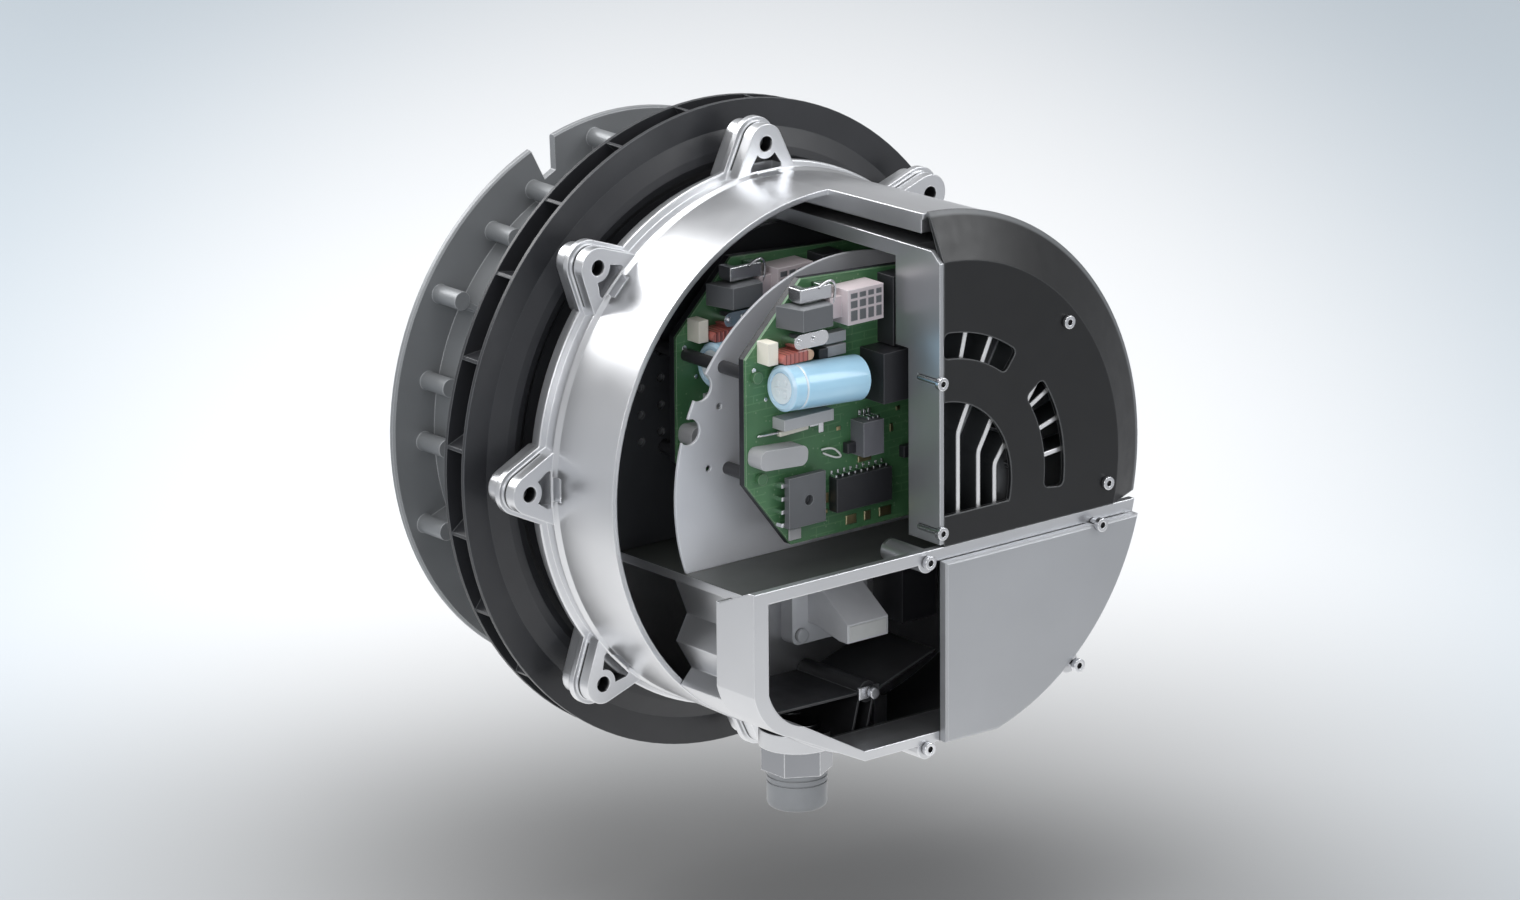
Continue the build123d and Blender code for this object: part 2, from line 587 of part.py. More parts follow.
def make_components():
    def brick(height, y0, y1, z0, z1, lift=0.0):
        return lambda x: block(x + lift, x + height, y0, y1, z0, z1)

    names = {}
    names["control_capacitor"], names["power_capacitor"] = [[can] for can in both_boards(capacitor)]
    names["plug_connectors"] = both_boards(
        lambda x: block(x, x + 14.0, -29.7, -7.5, 83.5, 101.0) + block(x, x + 9.0, -37.0, -29.7, 87.0, 97.5))
    names["board_clips"] = both_boards(
        lambda x: block(x, x + 9.0, -55.5, -36.0, 98.0, 104.8) - block(x, x + 6.5, -50.5, -41.0, 97.0, 106.0))
    names["inductors"] = both_boards(
        lambda x: extrude(Plane.XY.offset(86.0) * Polygon((x, -63.5), (x + 16.0, -59.5), (x + 16.0, -41.0),
                                                          (x, -37.5), align=None), amount=10.8, dir=(0, 0, 1)))
    names["crystal_cans"] = both_boards(
        lambda x: extrude(Plane.YZ.offset(x) * Pos(-49.5, 79.3) * SlotOverall(21.5, 7.4), amount=10.0))
    names["thin_chips"] = both_boards(lambda x: group([block(x, x + 5.0, -36.5, -23.8, 73.4, 78.6),
                                                       block(x, x + 5.0, -36.5, -23.8, 66.9, 72.1)]))
    names["film_capacitors"] = both_boards(brick(9.0, -75.4, -69.6, 70.6, 81.6))
    names["coils"] = both_boards(
        lambda x: extrude(Plane.YZ.offset(x) * Pos(-59.3, 72.8) * RectangleRounded(19.0, 5.0, 2.2), amount=12.0))
    names["flat_shunts"] = both_boards(brick(9.0, -66.0, -35.0, 36.2, 41.8))
    names["rounded_boxes"] = both_boards(
        lambda x: extrude(Plane.YZ.offset(x) * Pos(-66.9, 23.2) * Rot(Z=-4.0) * RectangleRounded(29.6, 10.0, 4.0),
                          amount=10.0))
    names["transistor_modules"] = both_boards(
        lambda x: block(x + 3.5, x + 7.0, -61.6, -38.6, -14.6, 10.9) - rod(x, x + 8.0, -49.0, -2.0, 2.6)
        + block(x, x + 3.5, -58.0, -42.0, -12.0, 8.0))
    names["transistor_leads"] = both_boards(
        lambda x: group([block(x, x + 4.6, -64.4, -61.6, z, z + 2.0) for z in (-13.6, -7.0, -0.4, 6.2)]))
    names["control_chips"] = both_boards(brick(6.0, -30.6, 4.5, -12.6, 4.4))
    names["driver_blocks"] = both_boards(brick(10.0, -16.8, -4.0, 13.8, 31.1))
    names["relays"] = both_boards(brick(18.0, -10.7, 6.5, 41.3, 66.6))
    names["power_modules"] = both_boards(brick(12.0, 0.5, 13.7, 67.4, 102.0))
    for name, shapes in names.items():
        keep(group(shapes), name)


# Heat sink and fan cover

def make_heat_sink():
    inner_r = SINK_RIM_R - SINK_RIM_T
    floor_x = FLOOR_X0 + FLOOR_T
    base_x1 = SINK_BASE_X + SINK_BASE_T
    sink = turned([(floor_x, inner_r), (floor_x, SINK_RIM_R), (base_x1 - 3.0, SINK_RIM_R), (base_x1, SINK_RIM_R - 3.0),
                   (base_x1, 0.0), (SINK_BASE_X, 0.0), (SINK_BASE_X, inner_r - 9.0), (SINK_BASE_X - 9.0, inner_r)])
    pad = block(SINK_PAD_X, SINK_BASE_X + 1.0, 0.0, 60.0, SINK_PAD_Z, 98.0)
    sink += pad
    sink += block(SINK_PAD_X, SINK_BASE_X + 1.0, 0.0, 12.0, SINK_PAD_Z, inner_r + 1.0)
    fins = across(Polygon((base_x1 - 1.0, COVER_BOTTOM_Z + 1.5), (COVER_FACE_X - 0.1, COVER_BOTTOM_Z + 1.5),
                          (COVER_FACE_X - 0.1, COVER_FACE_R - 0.5), (base_x1 + 12.0, SINK_RIM_R),
                          (base_x1 - 5.0, SINK_RIM_R), align=None), 0.0, SECTION_FIN_T)
    fin_x1 = COVER_FACE_X - COVER_T - PLATE_CLEARANCE
    for angle in FIN_ANGLES:
        fins += turn_x(angle, block(base_x1 - 1.0, fin_x1, FIN_INNER_R, FIN_OUTER_R, -FIN_T / 2, FIN_T / 2))
    for y, z, angle in BENT_FINS:
        start = (y, COVER_BOTTOM_Z + 1.5)
        bend = (y, z)
        end = polar(FIN_OUTER_R, angle)
        path = FilletPolyline(start, bend, end, radius=8.0)
        fins += slab(trace_line(path, FIN_T), base_x1 - 1.0, fin_x1)
    sink += fins
    sink &= RIGHT_HALF
    sink &= block(-BIG, BIG, -BIG, BIG, COVER_BOTTOM_Z + 1.5, BIG)
    for y, z in cover_screw_places():
        sink -= rod(base_x1 + 2.0, BIG, y, z, 1.7)
    keep(sink, "heat_sink")


def cover_screw_places():
    return ((0.0, 56.2), (0.0, -19.3), (81.7, 72.2), (107.8, -15.0))


def make_fan_cover():
    rim_in = COVER_R - COVER_T
    bevel = (COVER_R - COVER_FACE_R) / (COVER_FACE_X - COVER_RIM_X)
    cover = turned([(COVER_RIM_X - 0.4, rim_in), (COVER_RIM_X - 0.4, COVER_R), (COVER_RIM_X + 0.8, COVER_R),
                    (COVER_FACE_X, COVER_FACE_R), (COVER_FACE_X, 0.0), (COVER_FACE_X - COVER_T, 0.0),
                    (COVER_FACE_X - COVER_T, COVER_FACE_R - bevel), (COVER_RIM_X + 0.6, rim_in - 0.6)])
    eye = Circle(COVER_EYE_R) & Pos(0, COVER_EYE_BOTTOM_Z + COVER_EYE_R) * Rectangle(4 * COVER_EYE_R, 2 * COVER_EYE_R)
    cuts = slab(eye, COVER_FACE_X - 6.0, COVER_FACE_X + 1.0)
    for start, end in SLOT_ARCS:
        ring = Circle(SLOT_R_OUT) - Circle(SLOT_R_IN)
        slot = fillet((ring & sector(SLOT_R_OUT, start, end)).vertices(), 3.0)
        cuts += slab(slot, COVER_FACE_X - 6.0, COVER_FACE_X + 1.0)
    cover -= cuts
    cover &= block(-BIG, BIG, SECTION_FIN_T + 0.1, BIG, COVER_BOTTOM_Z, BIG)
    screws = []
    for y, z in cover_screw_places():
        cover -= rod(COVER_FACE_X - 6.0, COVER_FACE_X + 1.0, y, z, 1.9)
        head = rod(COVER_FACE_X, COVER_FACE_X + 2.6, y, z, 3.3) - rod(COVER_FACE_X + 1.2, COVER_FACE_X + 3.0, y, z, 1.5)
        screws.append(head + rod(SINK_BASE_X + SINK_BASE_T + 3.0, COVER_FACE_X, y, z, 1.5))
    keep(cover, "fan_cover")
    keep(group(screws), "fan_cover_screws")


# Terminal box

def box_body_outline(inset):
    """The box behind its front collar: a folded left wall and a round bottom inside the drum's line."""
    r = BOX_R - inset
    left = [(FOLDS[0][0] - 2.5 + inset, SHELF_Z - 0.1)] + [(y + inset, z) for y, z in FOLDS[:-1]]
    last_angle = math.degrees(math.atan2(FOLDS[-1][1], FOLDS[-1][0])) + 360.0 + inset * 0.4
    right_angle = 360.0 + math.degrees(math.asin(SHELF_Z / r))
    corner = polar(r, last_angle)
    bottom = ThreePointArc(corner, polar(r, (last_angle + right_angle) / 2), polar(r, right_angle))
    walls = Polyline(polar(r, right_angle), left[0], *left[1:], corner)
    return make_face(walls + bottom)


def collar_outline(inset):
    """The front collar: straight left side, rounded corners and a flat at the bottom."""
    left = COLLAR_LEFT_Y + inset * 1.8
    top = BOX_TOP_Z - BOX_TOP_BAR * (1.0 if inset > 0 else 0.0)
    flat = COLLAR_FLAT_Z + inset
    r = COLLAR_R - inset
    flat_end = math.sqrt(r * r - flat * flat)
    right_angle = math.degrees(math.asin(top / r))
    flat_angle = math.degrees(math.atan2(flat, flat_end))
    right = ThreePointArc((flat_end, flat), polar(r, (right_angle + flat_angle) / 2), polar(r, right_angle))
    corner = ThreePointArc((left, -79.0), (left + 7.0, -93.0 + inset * 0.4), (left + 22.0, -103.0 + inset * 0.7))
    lines = Polyline(polar(r, right_angle), (left, top), (left, -79.0))
    lower = Polyline((left + 22.0, -103.0 + inset * 0.7), (-48.0, flat), (flat_end, flat))
    return make_face(lines + corner + lower + right)


def make_terminal_box():
    shelf_profile = Polygon((FLOOR_X0 + FLOOR_T, SHELF_Z), (SHELF_RISE_X, SHELF_Z), (BOX_FRONT_X - 4.0, BOX_TOP_Z),
                            (BOX_FRONT_X, BOX_TOP_Z), (BOX_FRONT_X, BOX_TOP_Z - BOX_TOP_BAR),
                            (BOX_FRONT_X - 3.0, BOX_TOP_Z - BOX_TOP_BAR), (SHELF_RISE_X, SHELF_Z - SHELF_T),
                            (FLOOR_X0 + FLOOR_T, SHELF_Z - SHELF_T), align=None)
    left_y = FOLDS[0][0] - 2.5
    right_y = math.sqrt((BOX_R - 6.0) ** 2 - SHELF_Z ** 2)
    shelf = across(shelf_profile, left_y, right_y)
    body = slab(box_body_outline(0.0), BOX_REAR_X, COLLAR_X)
    body -= slab(box_body_outline(BOX_WALL), BOX_REAR_X + BOX_BACK_T, COLLAR_X + 1.0)
    collar = slab(collar_outline(0.0), COLLAR_X, BOX_FRONT_X)
    collar -= slab(collar_outline(BOX_WALL + 1.0), COLLAR_X - 1.0, BOX_FRONT_X + 1.0)
    above = across(Polygon((COLLAR_X - 1.0, SHELF_Z), (SHELF_RISE_X, SHELF_Z), (BOX_FRONT_X - 4.0, BOX_TOP_Z),
                           (BOX_FRONT_X - 4.0, 0.0), (COLLAR_X - 1.0, 0.0), align=None), -BIG, BIG)
    collar -= above
    step = slab(box_body_outline(0.0) + collar_outline(0.0), COLLAR_X, COLLAR_X + 3.0)
    step -= slab(collar_outline(BOX_WALL + 1.0), COLLAR_X - 1.0, COLLAR_X + 4.0)
    step -= above
    box = shelf + body + collar + step
    box += rod(60.0, 76.0, 8.0, -112.0, 7.0) + block(BOX_REAR_X + 1.0, 76.0, 4.0, 12.0, -132.0, -112.0)
    for y, z in box_screw_places():
        box += rod(COLLAR_X, BOX_FRONT_X, y, z, 5.6)
        box -= rod(COLLAR_X + 4.0, BOX_FRONT_X + 1.0, y, z, 2.0)
    gland_pad = Pos(GLAND_X, GLAND_Y, GLAND_HEX_TOP_Z) * Cylinder(19.0, 9.0, align=(Align.CENTER, Align.CENTER, Align.MIN))
    box += gland_pad
    box -= Pos(GLAND_X, GLAND_Y, GLAND_HEX_TOP_Z - 1.0) * Cylinder(
        GLAND_THREAD_R, 24.0, align=(Align.CENTER, Align.CENTER, Align.MIN))
    box &= disc(-BIG, BOX_REAR_X - 0.2, DRUM_R - DRUM_WALL - PLATE_CLEARANCE) + block(
        BOX_REAR_X - 0.2, BIG, -BIG, BIG, -BIG, BIG)
    keep(box, "terminal_box")


def box_screw_places():
    return ((-8.0, -32.5), (-8.5, -127.5), (84.0, -103.0), (99.0, -33.5))


def make_terminal_cover():
    x0 = BOX_FRONT_X + COVER_GAP
    outline = collar_outline(0.0) - Pos(0, BOX_TOP_Z + 43.5) * Rectangle(BIG, 100.0)
    half = Pos(BIG / 2, 0) * Rectangle(BIG, BIG)
    face = outline & half
    plate = slab(face, x0, x0 + TERMINAL_COVER_T)
    edge = plate.faces().sort_by(Axis.X)[-1].edges()
    plate = chamfer(edge, 1.0)
    for y, z in box_screw_places():
        plate -= rod(x0 - 1.0, x0 + TERMINAL_COVER_T + 1.0, y, z, 2.2)
    keep(plate, "terminal_cover")
    strip = slab(face - offset(face, amount=-SEAL_T), BOX_FRONT_X, x0)
    for y, z in box_screw_places():
        strip -= rod(BOX_FRONT_X - 1.0, x0 + 1.0, y, z, 2.2)
    keep(strip, "terminal_cover_seal")
    screws = []
    for y, z in box_screw_places():
        seat_x = x0 + TERMINAL_COVER_T if y > 0 else BOX_FRONT_X
        screws.append(rod(seat_x, seat_x + 3.0, y, z, 3.4) - rod(seat_x + 1.4, seat_x + 4.0, y, z, 1.6)
                      + rod(COLLAR_X + 10.0, seat_x, y, z, 1.9))
    keep(group(screws), "terminal_cover_screws")


def make_terminals():
    back_x = BOX_REAR_X + BOX_BACK_T
    flange = slab(Pos(-11.0, -65.0) * RectangleRounded(48.0, 44.0, 4.0), back_x, 60.0)
    body = across(Polygon((58.0, -45.0), (62.0, -45.0), (70.0, -57.3), (90.0, -71.0), (90.0, -80.5),
                          (84.0, -80.5), (66.0, -76.3), (58.0, -76.3), align=None), -25.0, 1.0)
    block_piece = flange + body
    screws = []
    for y, z in ((-30.0, -82.0), (8.0, -82.0), (8.0, -48.0), (-30.0, -48.0)):
        block_piece -= rod(back_x - 1.0, 61.0, y, z, 1.9)
        screws.append(rod(back_x, 60.0, y, z, 1.7) + rod(60.0, 62.5, y, z, 3.4))
    keep(block_piece, "terminal_block")
    keep(group(screws), "terminal_block_screws")
    keep(block(back_x, 74.0, 24.0, 46.0, -84.0, -52.0), "signal_connector")
    keep(rod(76.0, 79.0, 8.0, -112.0, 4.5), "earth_screw")


def make_gland():
    top = GLAND_HEX_TOP_Z
    low = (Align.CENTER, Align.CENTER, Align.MIN)
    hexagon = RegularPolygon(GLAND_HEX_AF / 2, 6, major_radius=False)
    body = Pos(GLAND_X, GLAND_Y, top - GLAND_HEX_H) * extrude(hexagon, amount=GLAND_HEX_H)
    body += Pos(GLAND_X, GLAND_Y, top) * Cylinder(GLAND_THREAD_R - 0.05, 12.0, align=low)
    body -= Pos(GLAND_X, GLAND_Y, top - GLAND_HEX_H - 1.0) * Cylinder(GLAND_BORE_R + 1.0, 40.0, align=low)
    keep(body, "gland_body")
    cap_top = top - GLAND_HEX_H
    cap = Pos(GLAND_X, GLAND_Y, cap_top - GLAND_CAP_H) * Cylinder(GLAND_CAP_R, GLAND_CAP_H, align=low)
    cap = fillet(cap.faces().sort_by(Axis.Z)[0].edges(), 3.0)
    for drop in (3.0, 6.0):
        groove = Cylinder(GLAND_CAP_R + 2.0, 0.8, align=low) - Cylinder(GLAND_CAP_R - 0.7, 0.8, align=low)
        cap -= Pos(GLAND_X, GLAND_Y, cap_top - drop) * groove
    cap -= Pos(GLAND_X, GLAND_Y, cap_top - GLAND_CAP_H - 1.0) * Cylinder(GLAND_BORE_R + 3.0, 40.0, align=low)
    keep(cap, "gland_cap")
    seal = Pos(GLAND_X, GLAND_Y, cap_top - GLAND_CAP_H + 2.0) * (
        Cylinder(GLAND_BORE_R + 3.0, GLAND_CAP_H - 2.0, align=low) - Cylinder(GLAND_BORE_R, GLAND_CAP_H, align=low))
    keep(seal, "gland_seal")


def main():
    make_shaft()
    make_rotor_casting()
    make_magnet_ring()
    make_cooling_wheel()
    make_bearings()
    make_bearing_carrier()
    make_stator()
    make_housing()
    make_floor_liner()
    make_boards()
    make_components()
    make_heat_sink()
    make_fan_cover()
    make_terminal_box()
    make_terminal_cover()
    make_terminals()
    make_gland()
    os.makedirs("parts", exist_ok=True)
    for name, shape in parts.items():
        export_step(shape, f"parts/{name}.step")
        print(name, len(shape.solids()), round(shape.volume))


main()
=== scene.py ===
import bpy
import bmesh
import json
import math
from mathutils import Matrix, Vector


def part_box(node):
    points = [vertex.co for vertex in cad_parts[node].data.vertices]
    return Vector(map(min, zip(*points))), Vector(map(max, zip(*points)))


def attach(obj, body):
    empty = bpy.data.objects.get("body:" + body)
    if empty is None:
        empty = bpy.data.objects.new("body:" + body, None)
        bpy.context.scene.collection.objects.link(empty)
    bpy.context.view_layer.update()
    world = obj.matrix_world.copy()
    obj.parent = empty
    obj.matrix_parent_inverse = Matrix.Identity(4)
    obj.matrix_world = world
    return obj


# Looks of the cutaway motor, and the small pieces that the CAD model leaves to them.
# The frame is the CAD model's, in metres: X is the shaft axis with the electronics at +X, Z is up,
# and the opened half is at Y < 0. Camera, lights, stage and the reach of a shading node are in metres.
# Small pieces, and the places where a look changes, are in millimetres in the same frame.

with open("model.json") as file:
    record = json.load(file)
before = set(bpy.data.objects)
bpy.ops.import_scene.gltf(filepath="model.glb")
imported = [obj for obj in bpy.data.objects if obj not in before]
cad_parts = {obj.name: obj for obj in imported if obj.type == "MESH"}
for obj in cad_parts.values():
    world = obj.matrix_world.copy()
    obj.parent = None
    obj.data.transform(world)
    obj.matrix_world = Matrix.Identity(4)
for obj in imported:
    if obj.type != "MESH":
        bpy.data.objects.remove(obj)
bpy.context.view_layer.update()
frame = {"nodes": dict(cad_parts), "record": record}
NODES = frame["nodes"]
MM = 0.001

# Photograph's viewpoint
AZIMUTH = math.radians(50.5)
ELEVATION = math.radians(16.63)
ROLL = math.radians(-0.42)
DISTANCE = 4.1288
AIM = Vector((-0.033, 0.0, 0.0))
AIM_RIGHT = 0.0170
AIM_UP = -0.01353
LENS = 196.1
SENSOR_WIDTH = 36.0
VIEW_LIMIT = 60.0

# Lights: name, place, size, watts and colour
SOFTBOXES = (
    ("top_softbox", (-0.1, -0.2, 2.3), (1.9, 1.9), 30.0, (1.0, 1.0, 1.0)),
    ("left_back_softbox", (-2.0, -0.8, 1.65), (1.5, 1.3), 34.0, (1.0, 1.0, 1.0)),
    ("front_softbox", (1.1, -2.3, 1.0), (1.4, 1.2), 16.0, (1.0, 1.0, 1.0)),
    ("right_back_softbox", (1.7, 1.7, 1.3), (1.2, 1.2), 17.0, (0.97, 0.985, 1.0)),
)

# Studio's greys, from the horizon at 0 to overhead at 1
STUDIO_LOW = (0.42, 0.43, 0.45, 1.0)
STUDIO_TONES = ((0.10, 0.50), (0.30, 0.30), (0.60, 0.42))
STUDIO_HIGH = (0.75, 0.76, 0.78, 1.0)

# Stage: a floor with a painted pool of light, a painted shadow and a painted reflection
FLOOR_Z = -0.235
FLOOR_SIZE = 16.0
POOL_BEHIND = 0.75
POOL_WIDTH = 0.52
POOL_DEPTH = 1.9
POOL_FADE = (0.35, 1.15)
POOL_TONE = (0.84, 0.85, 0.86)
FLOOR_TONE = (0.55, 0.61, 0.66)
SHADE_RADIUS = 0.66
SHADE_TONE = (0.24, 0.24, 0.24)
MIRROR_FADE = (0.35, 0.85)
MIRROR_NEAR = (1.0, 1.0, 1.0)
MIRROR_FAR = (0.50, 0.51, 0.53)

# Looks: widths of the painted highlights along edges and the reach of the painted shade in sockets in metres,
# then tones, and how metallic the silver castings are where they are not painted as shade
CASTING_EDGE = 0.0009
TURNED_EDGE = 0.0008
PLASTIC_EDGE = 0.0006
COVER_EDGE = 0.0012
BOARD_EDGE = 0.0005
TRAY_EDGE = 0.0004
CAN_EDGE = 0.0003
SOCKET_SHADE_REACH = 0.0025
SOCKET_SHADE_TONE = (0.03, 0.03, 0.032)
EDGE_HIGHLIGHT = (0.93, 0.94, 0.96)
SILVER_METALLIC = 0.92

# Where a face starts to look at the shaft axis: the cosine between its normal and the way outwards
INWARD_LEAN = (-0.35, -0.15)

# Bump heights, in metres
CAST_GRAIN = 0.00002
SATIN_GRAIN = 0.00001
PLATED_GRAIN = 0.000004
CHROME_GRAIN = 0.000002
SPARK_GRAIN = 0.00004
TRACK_RELIEF = 0.00004
WIRE_RELIEF = 0.00025
SHEET_RELIEF = 0.0001
COIL_RELIEF = 0.0002

# Pitches of the turning lines, the wire's turns, the steel sheets' waves and the red coil's turns
TURNING_PITCH = 0.9
WIRE_PITCH = 1.1
SHEET_PITCH = 1.0
COIL_PITCH = 2.6

# Pockets beside the mounting lugs, painted near black as shade: spans along X of their floor's back and front
# and of their mouth
POCKET_BACK_X = (-8.0, -7.2)
POCKET_FRONT_X = (-6.6, -6.0)
POCKET_MOUTH_X = (-1.6, -0.6)
POCKET_INNER_R = 138.6
POCKET_SHADE_REACH = 0.014
POCKET_SHADE_TONE = (0.008, 0.008, 0.009)

# Castings' insides: the X behind which their inward faces get painted shade, and the Z where the painted
# shade's tone changes
HOUSING_INSIDE_X = 200.0
BOX_INSIDE_X = 104.0
SHELF_Z = -36.5

# Heat sink's face behind the fins, the fins' front, the section's edge, and the hump on the face
SINK_FACE_X = 112.5
FIN_FRONT_X = 127.4
SECTION_Y = 2.4
DOME_BACK = 0.4
DOME_PLACE = (47.5, -6.0)
DOME_RADII = (12.0, 10.5, 24.0)

# Fan cover's rim, lighter as a painted highlight
COVER_RIM_R = 135.8
COVER_RIM_WIDTH = 1.6
COVER_RIM_HIGHLIGHT = (0.16, 0.165, 0.17)

# Red coil's bare end
COIL_END_Y = (-53.6, -53.0)

# Softened edges of the small pieces: the least angle between faces
BEVEL_ANGLE = math.radians(40.0)

# Capacitors: half length, tilt of the axis, spans along it of the ring and the paler rim,
# and the vented end disc, whose X runs along the capacitor's axis
CAPACITOR_HALF = 24.5
CAPACITOR_TILT = math.radians(3.9)
CAPACITOR_RING = (15.2, 15.5)
CAPACITOR_RING_END = (16.3, 16.6)
CAPACITOR_RIM = (23.0, 23.6)
END_DISC_INSET = 0.8
END_DISC_R = 7.6
END_DISC_X = (-0.2, 0.45)
END_STUDS = ((-2.6, 2.4), (-2.6, -2.4), (2.8, 3.0), (2.8, -3.0))
END_STUD_R = 1.5
END_STUD_TOP = 0.75
END_RIB_HALF = 4.5
END_RIB_WIDTH = 0.9
END_RIB_TOP = 0.7

# On both boards: places are Y and Z, and X is measured from the board's face.
# Boxes are x0, x1, y0, y1, z0, z1; those of a pin start from the pin's place.
BOARDS = ("control_board", "power_board")
BOARD_FACES = [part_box(board)[1].x / MM for board in BOARDS]
CHIP_TOP = 4.4
CHIP_PINS = [(y, CHIP_TOP) for y in range(-30, 3, 4)]
CHIP_PIN_BOXES = ((0.0, 4.4, 0.0, 1.1, 0.0, 1.6), (0.0, 0.7, 0.0, 1.1, 0.0, 3.2))
DRIVER_PINS = ((-12.4, 31.6), (-9.4, 31.6), (-6.4, 31.6))
DRIVER_PIN_BOXES = ((0.2, 8.0, 0.0, 1.6, -0.4, 1.2), (0.0, 1.0, 0.0, 1.6, 0.0, 3.4))
CAN_PINS = ((-57.0, 79.3), (-48.0, 79.3))
CAN_PIN_R = 1.5
CAN_PIN_X = (10.0, 11.2)
SOLDER_DOTS = ((-78.0, 67.3, 1.3), (-70.8, 51.5, 1.1))
SOLDER_HEIGHT = 1.0
GOLD_PADS = (
    (-20.3, -13.7, -22.0, -17.3), (-8.6, -4.6, -22.0, -17.3), (1.0, 8.6, -22.0, -17.3),
    (-34.2, -31.2, -8.2, -3.1), (-34.2, -31.9, -13.4, -11.4), (-12.4, -4.0, 8.2, 11.4),
    (-26.0, -23.5, 27.0, 29.0), (8.0, 10.0, 20.0, 24.0), (12.0, 14.5, 30.0, 32.0),
)
GOLD_HEIGHT = 0.5
DARK_BLOCKS = (
    (0.0, 4.0, -21.9, -13.4, 15.0, 20.4), (0.0, 7.0, -42.2, -36.6, 66.6, 72.4),
    (0.0, 3.0, -31.0, -26.6, 43.0, 46.4), (0.0, 6.0, 8.0, 18.0, 42.0, 52.0),
    (0.0, 5.0, 16.0, 27.0, 58.0, 64.0), (0.0, 4.0, 14.0, 24.0, 6.0, 12.0),
)
WINDOW_ROWS = ((85.4, 90.6), (91.8, 95.4), (96.6, 99.2))
WINDOW_COLUMNS = ((-28.2, -24.0), (-22.6, -18.6), (-17.2, -13.6), (-12.2, -8.8))
WINDOW_X = (14.0, 14.2)
BARE_TAB = (0.0, 1.2, -56.8, -49.4, -22.6, -17.2)
SHUNT_FOOT = ((0.0, 4.5, -40.6, -37.4, 29.6, 35.4), (0.0, 2.0, -44.0, -40.6, 32.6, 35.4))
RESISTOR_ENDS = ((-64.5, 33.2), (-46.5, 33.8))
RESISTOR_WIDTH = 2.6
RESISTOR_X = (1.0, 4.0)
RESISTOR_LEAD = ((0.2, -75.6, 33.6), (2.2, -73.6, 34.0), (2.6, -62.0, 34.0))
RESISTOR_LEAD_R = 0.6
CLIP_SPRING = ((9.0, -44.0, 104.0), (10.0, -39.0, 107.5), (9.0, -34.0, 105.5),
               (9.0, -33.6, 99.0), (8.0, -35.8, 92.0), (1.0, -36.0, 91.0))
CLIP_SPRING_R = 0.7
LOOSE_LOOP = ((0.6, -36.0, 19.4), (2.6, -31.0, 20.6), (2.4, -25.4, 15.8),
              (0.8, -23.6, 13.4), (2.0, -29.6, 14.6), (0.6, -35.0, 17.6))
LOOSE_LOOP_R = 0.5
BACKING_T = 3.6
BACKING_DEPTH = 3.7

# Terminal compartment
TRAY_X = (51.6, 99.0)
TRAY_BOSS = (-20.0, -103.6)
TRAY_BOSS_R = 5.5
TRAY_RIBS = (((-86.0, -102.6), (-20.0, -103.6)), ((-20.0, -106.0), (24.0, -91.5)),
             ((-24.6, -104.0), (-31.5, -131.0)), ((-15.4, -104.0), (-22.3, -131.0)))
TRAY_RIB_T = 1.4
CLAMP_BOX = (0.0, 1.6, -6.5, 6.5, -3.2, 3.2)
CLAMP_SCREW_Y = 1.0
CLAMP_SCREW_R = 3.0
CLAMP_SCREW_X = (1.6, 5.0)
LABEL_BOX = (0.0, 0.5, -23.8, -0.2, -79.6, -71.9)


def add_object(name, data):
    """An object in the scene, made from a mesh, curve, camera or light."""
    made = bpy.data.objects.new(name, data)
    bpy.context.scene.collection.objects.link(made)
    return made


# Camera and light

def make_camera():
    back = Vector((math.sin(AZIMUTH) * math.cos(ELEVATION), -math.cos(AZIMUTH) * math.cos(ELEVATION),
                   math.sin(ELEVATION)))
    right = Vector((math.cos(AZIMUTH), math.sin(AZIMUTH), 0.0))
    up = back.cross(right)
    rolled_right = right * math.cos(ROLL) + up * math.sin(ROLL)
    rolled_up = up * math.cos(ROLL) - right * math.sin(ROLL)
    place = AIM + back * DISTANCE + rolled_right * AIM_RIGHT + rolled_up * AIM_UP
    data = bpy.data.cameras.new("camera")
    data.lens = LENS
    data.sensor_width = SENSOR_WIDTH
    data.clip_end = VIEW_LIMIT
    camera = add_object("camera", data)
    axes = Matrix((rolled_right, rolled_up, back)).transposed()
    camera.matrix_world = Matrix.Translation(place) @ axes.to_4x4()
    bpy.context.scene.camera = camera


def make_lights():
    """Rectangular lamps that look at the origin."""
    for name, place, size, power, colour in SOFTBOXES:
        data = bpy.data.lights.new(name, "AREA")
        data.shape = "RECTANGLE"
        data.size, data.size_y = size
        data.energy = power
        data.color = colour
        turn = Vector(place).to_track_quat("Z", "Y").to_matrix().to_4x4()
        add_object(name, data).matrix_world = Matrix.Translation(place) @ turn


def make_world():
    """A grey studio, paler towards the horizon and overhead, which the metal mirrors."""
    world = bpy.data.worlds.new("studio")
    bpy.context.scene.world = world
    world.use_nodes = True
    tree = world.node_tree
    background = tree.nodes["Background"]
    coords = tree.nodes.new("ShaderNodeTexCoord")
    split = tree.nodes.new("ShaderNodeSeparateXYZ")
    ramp = tree.nodes.new("ShaderNodeValToRGB")
    stops = ramp.color_ramp.elements
    stops[0].position = 0.0
    stops[0].color = STUDIO_LOW
    stops[1].position = 1.0
    stops[1].color = STUDIO_HIGH
    for place, tone in STUDIO_TONES:
        stops.new(place).color = (tone, tone * 1.01, tone * 1.03, 1.0)
    tree.links.new(coords.outputs["Generated"], split.inputs[0])
    tree.links.new(split.outputs["Z"], ramp.inputs["Fac"])
    tree.links.new(ramp.outputs["Color"], background.inputs["Color"])


# Materials

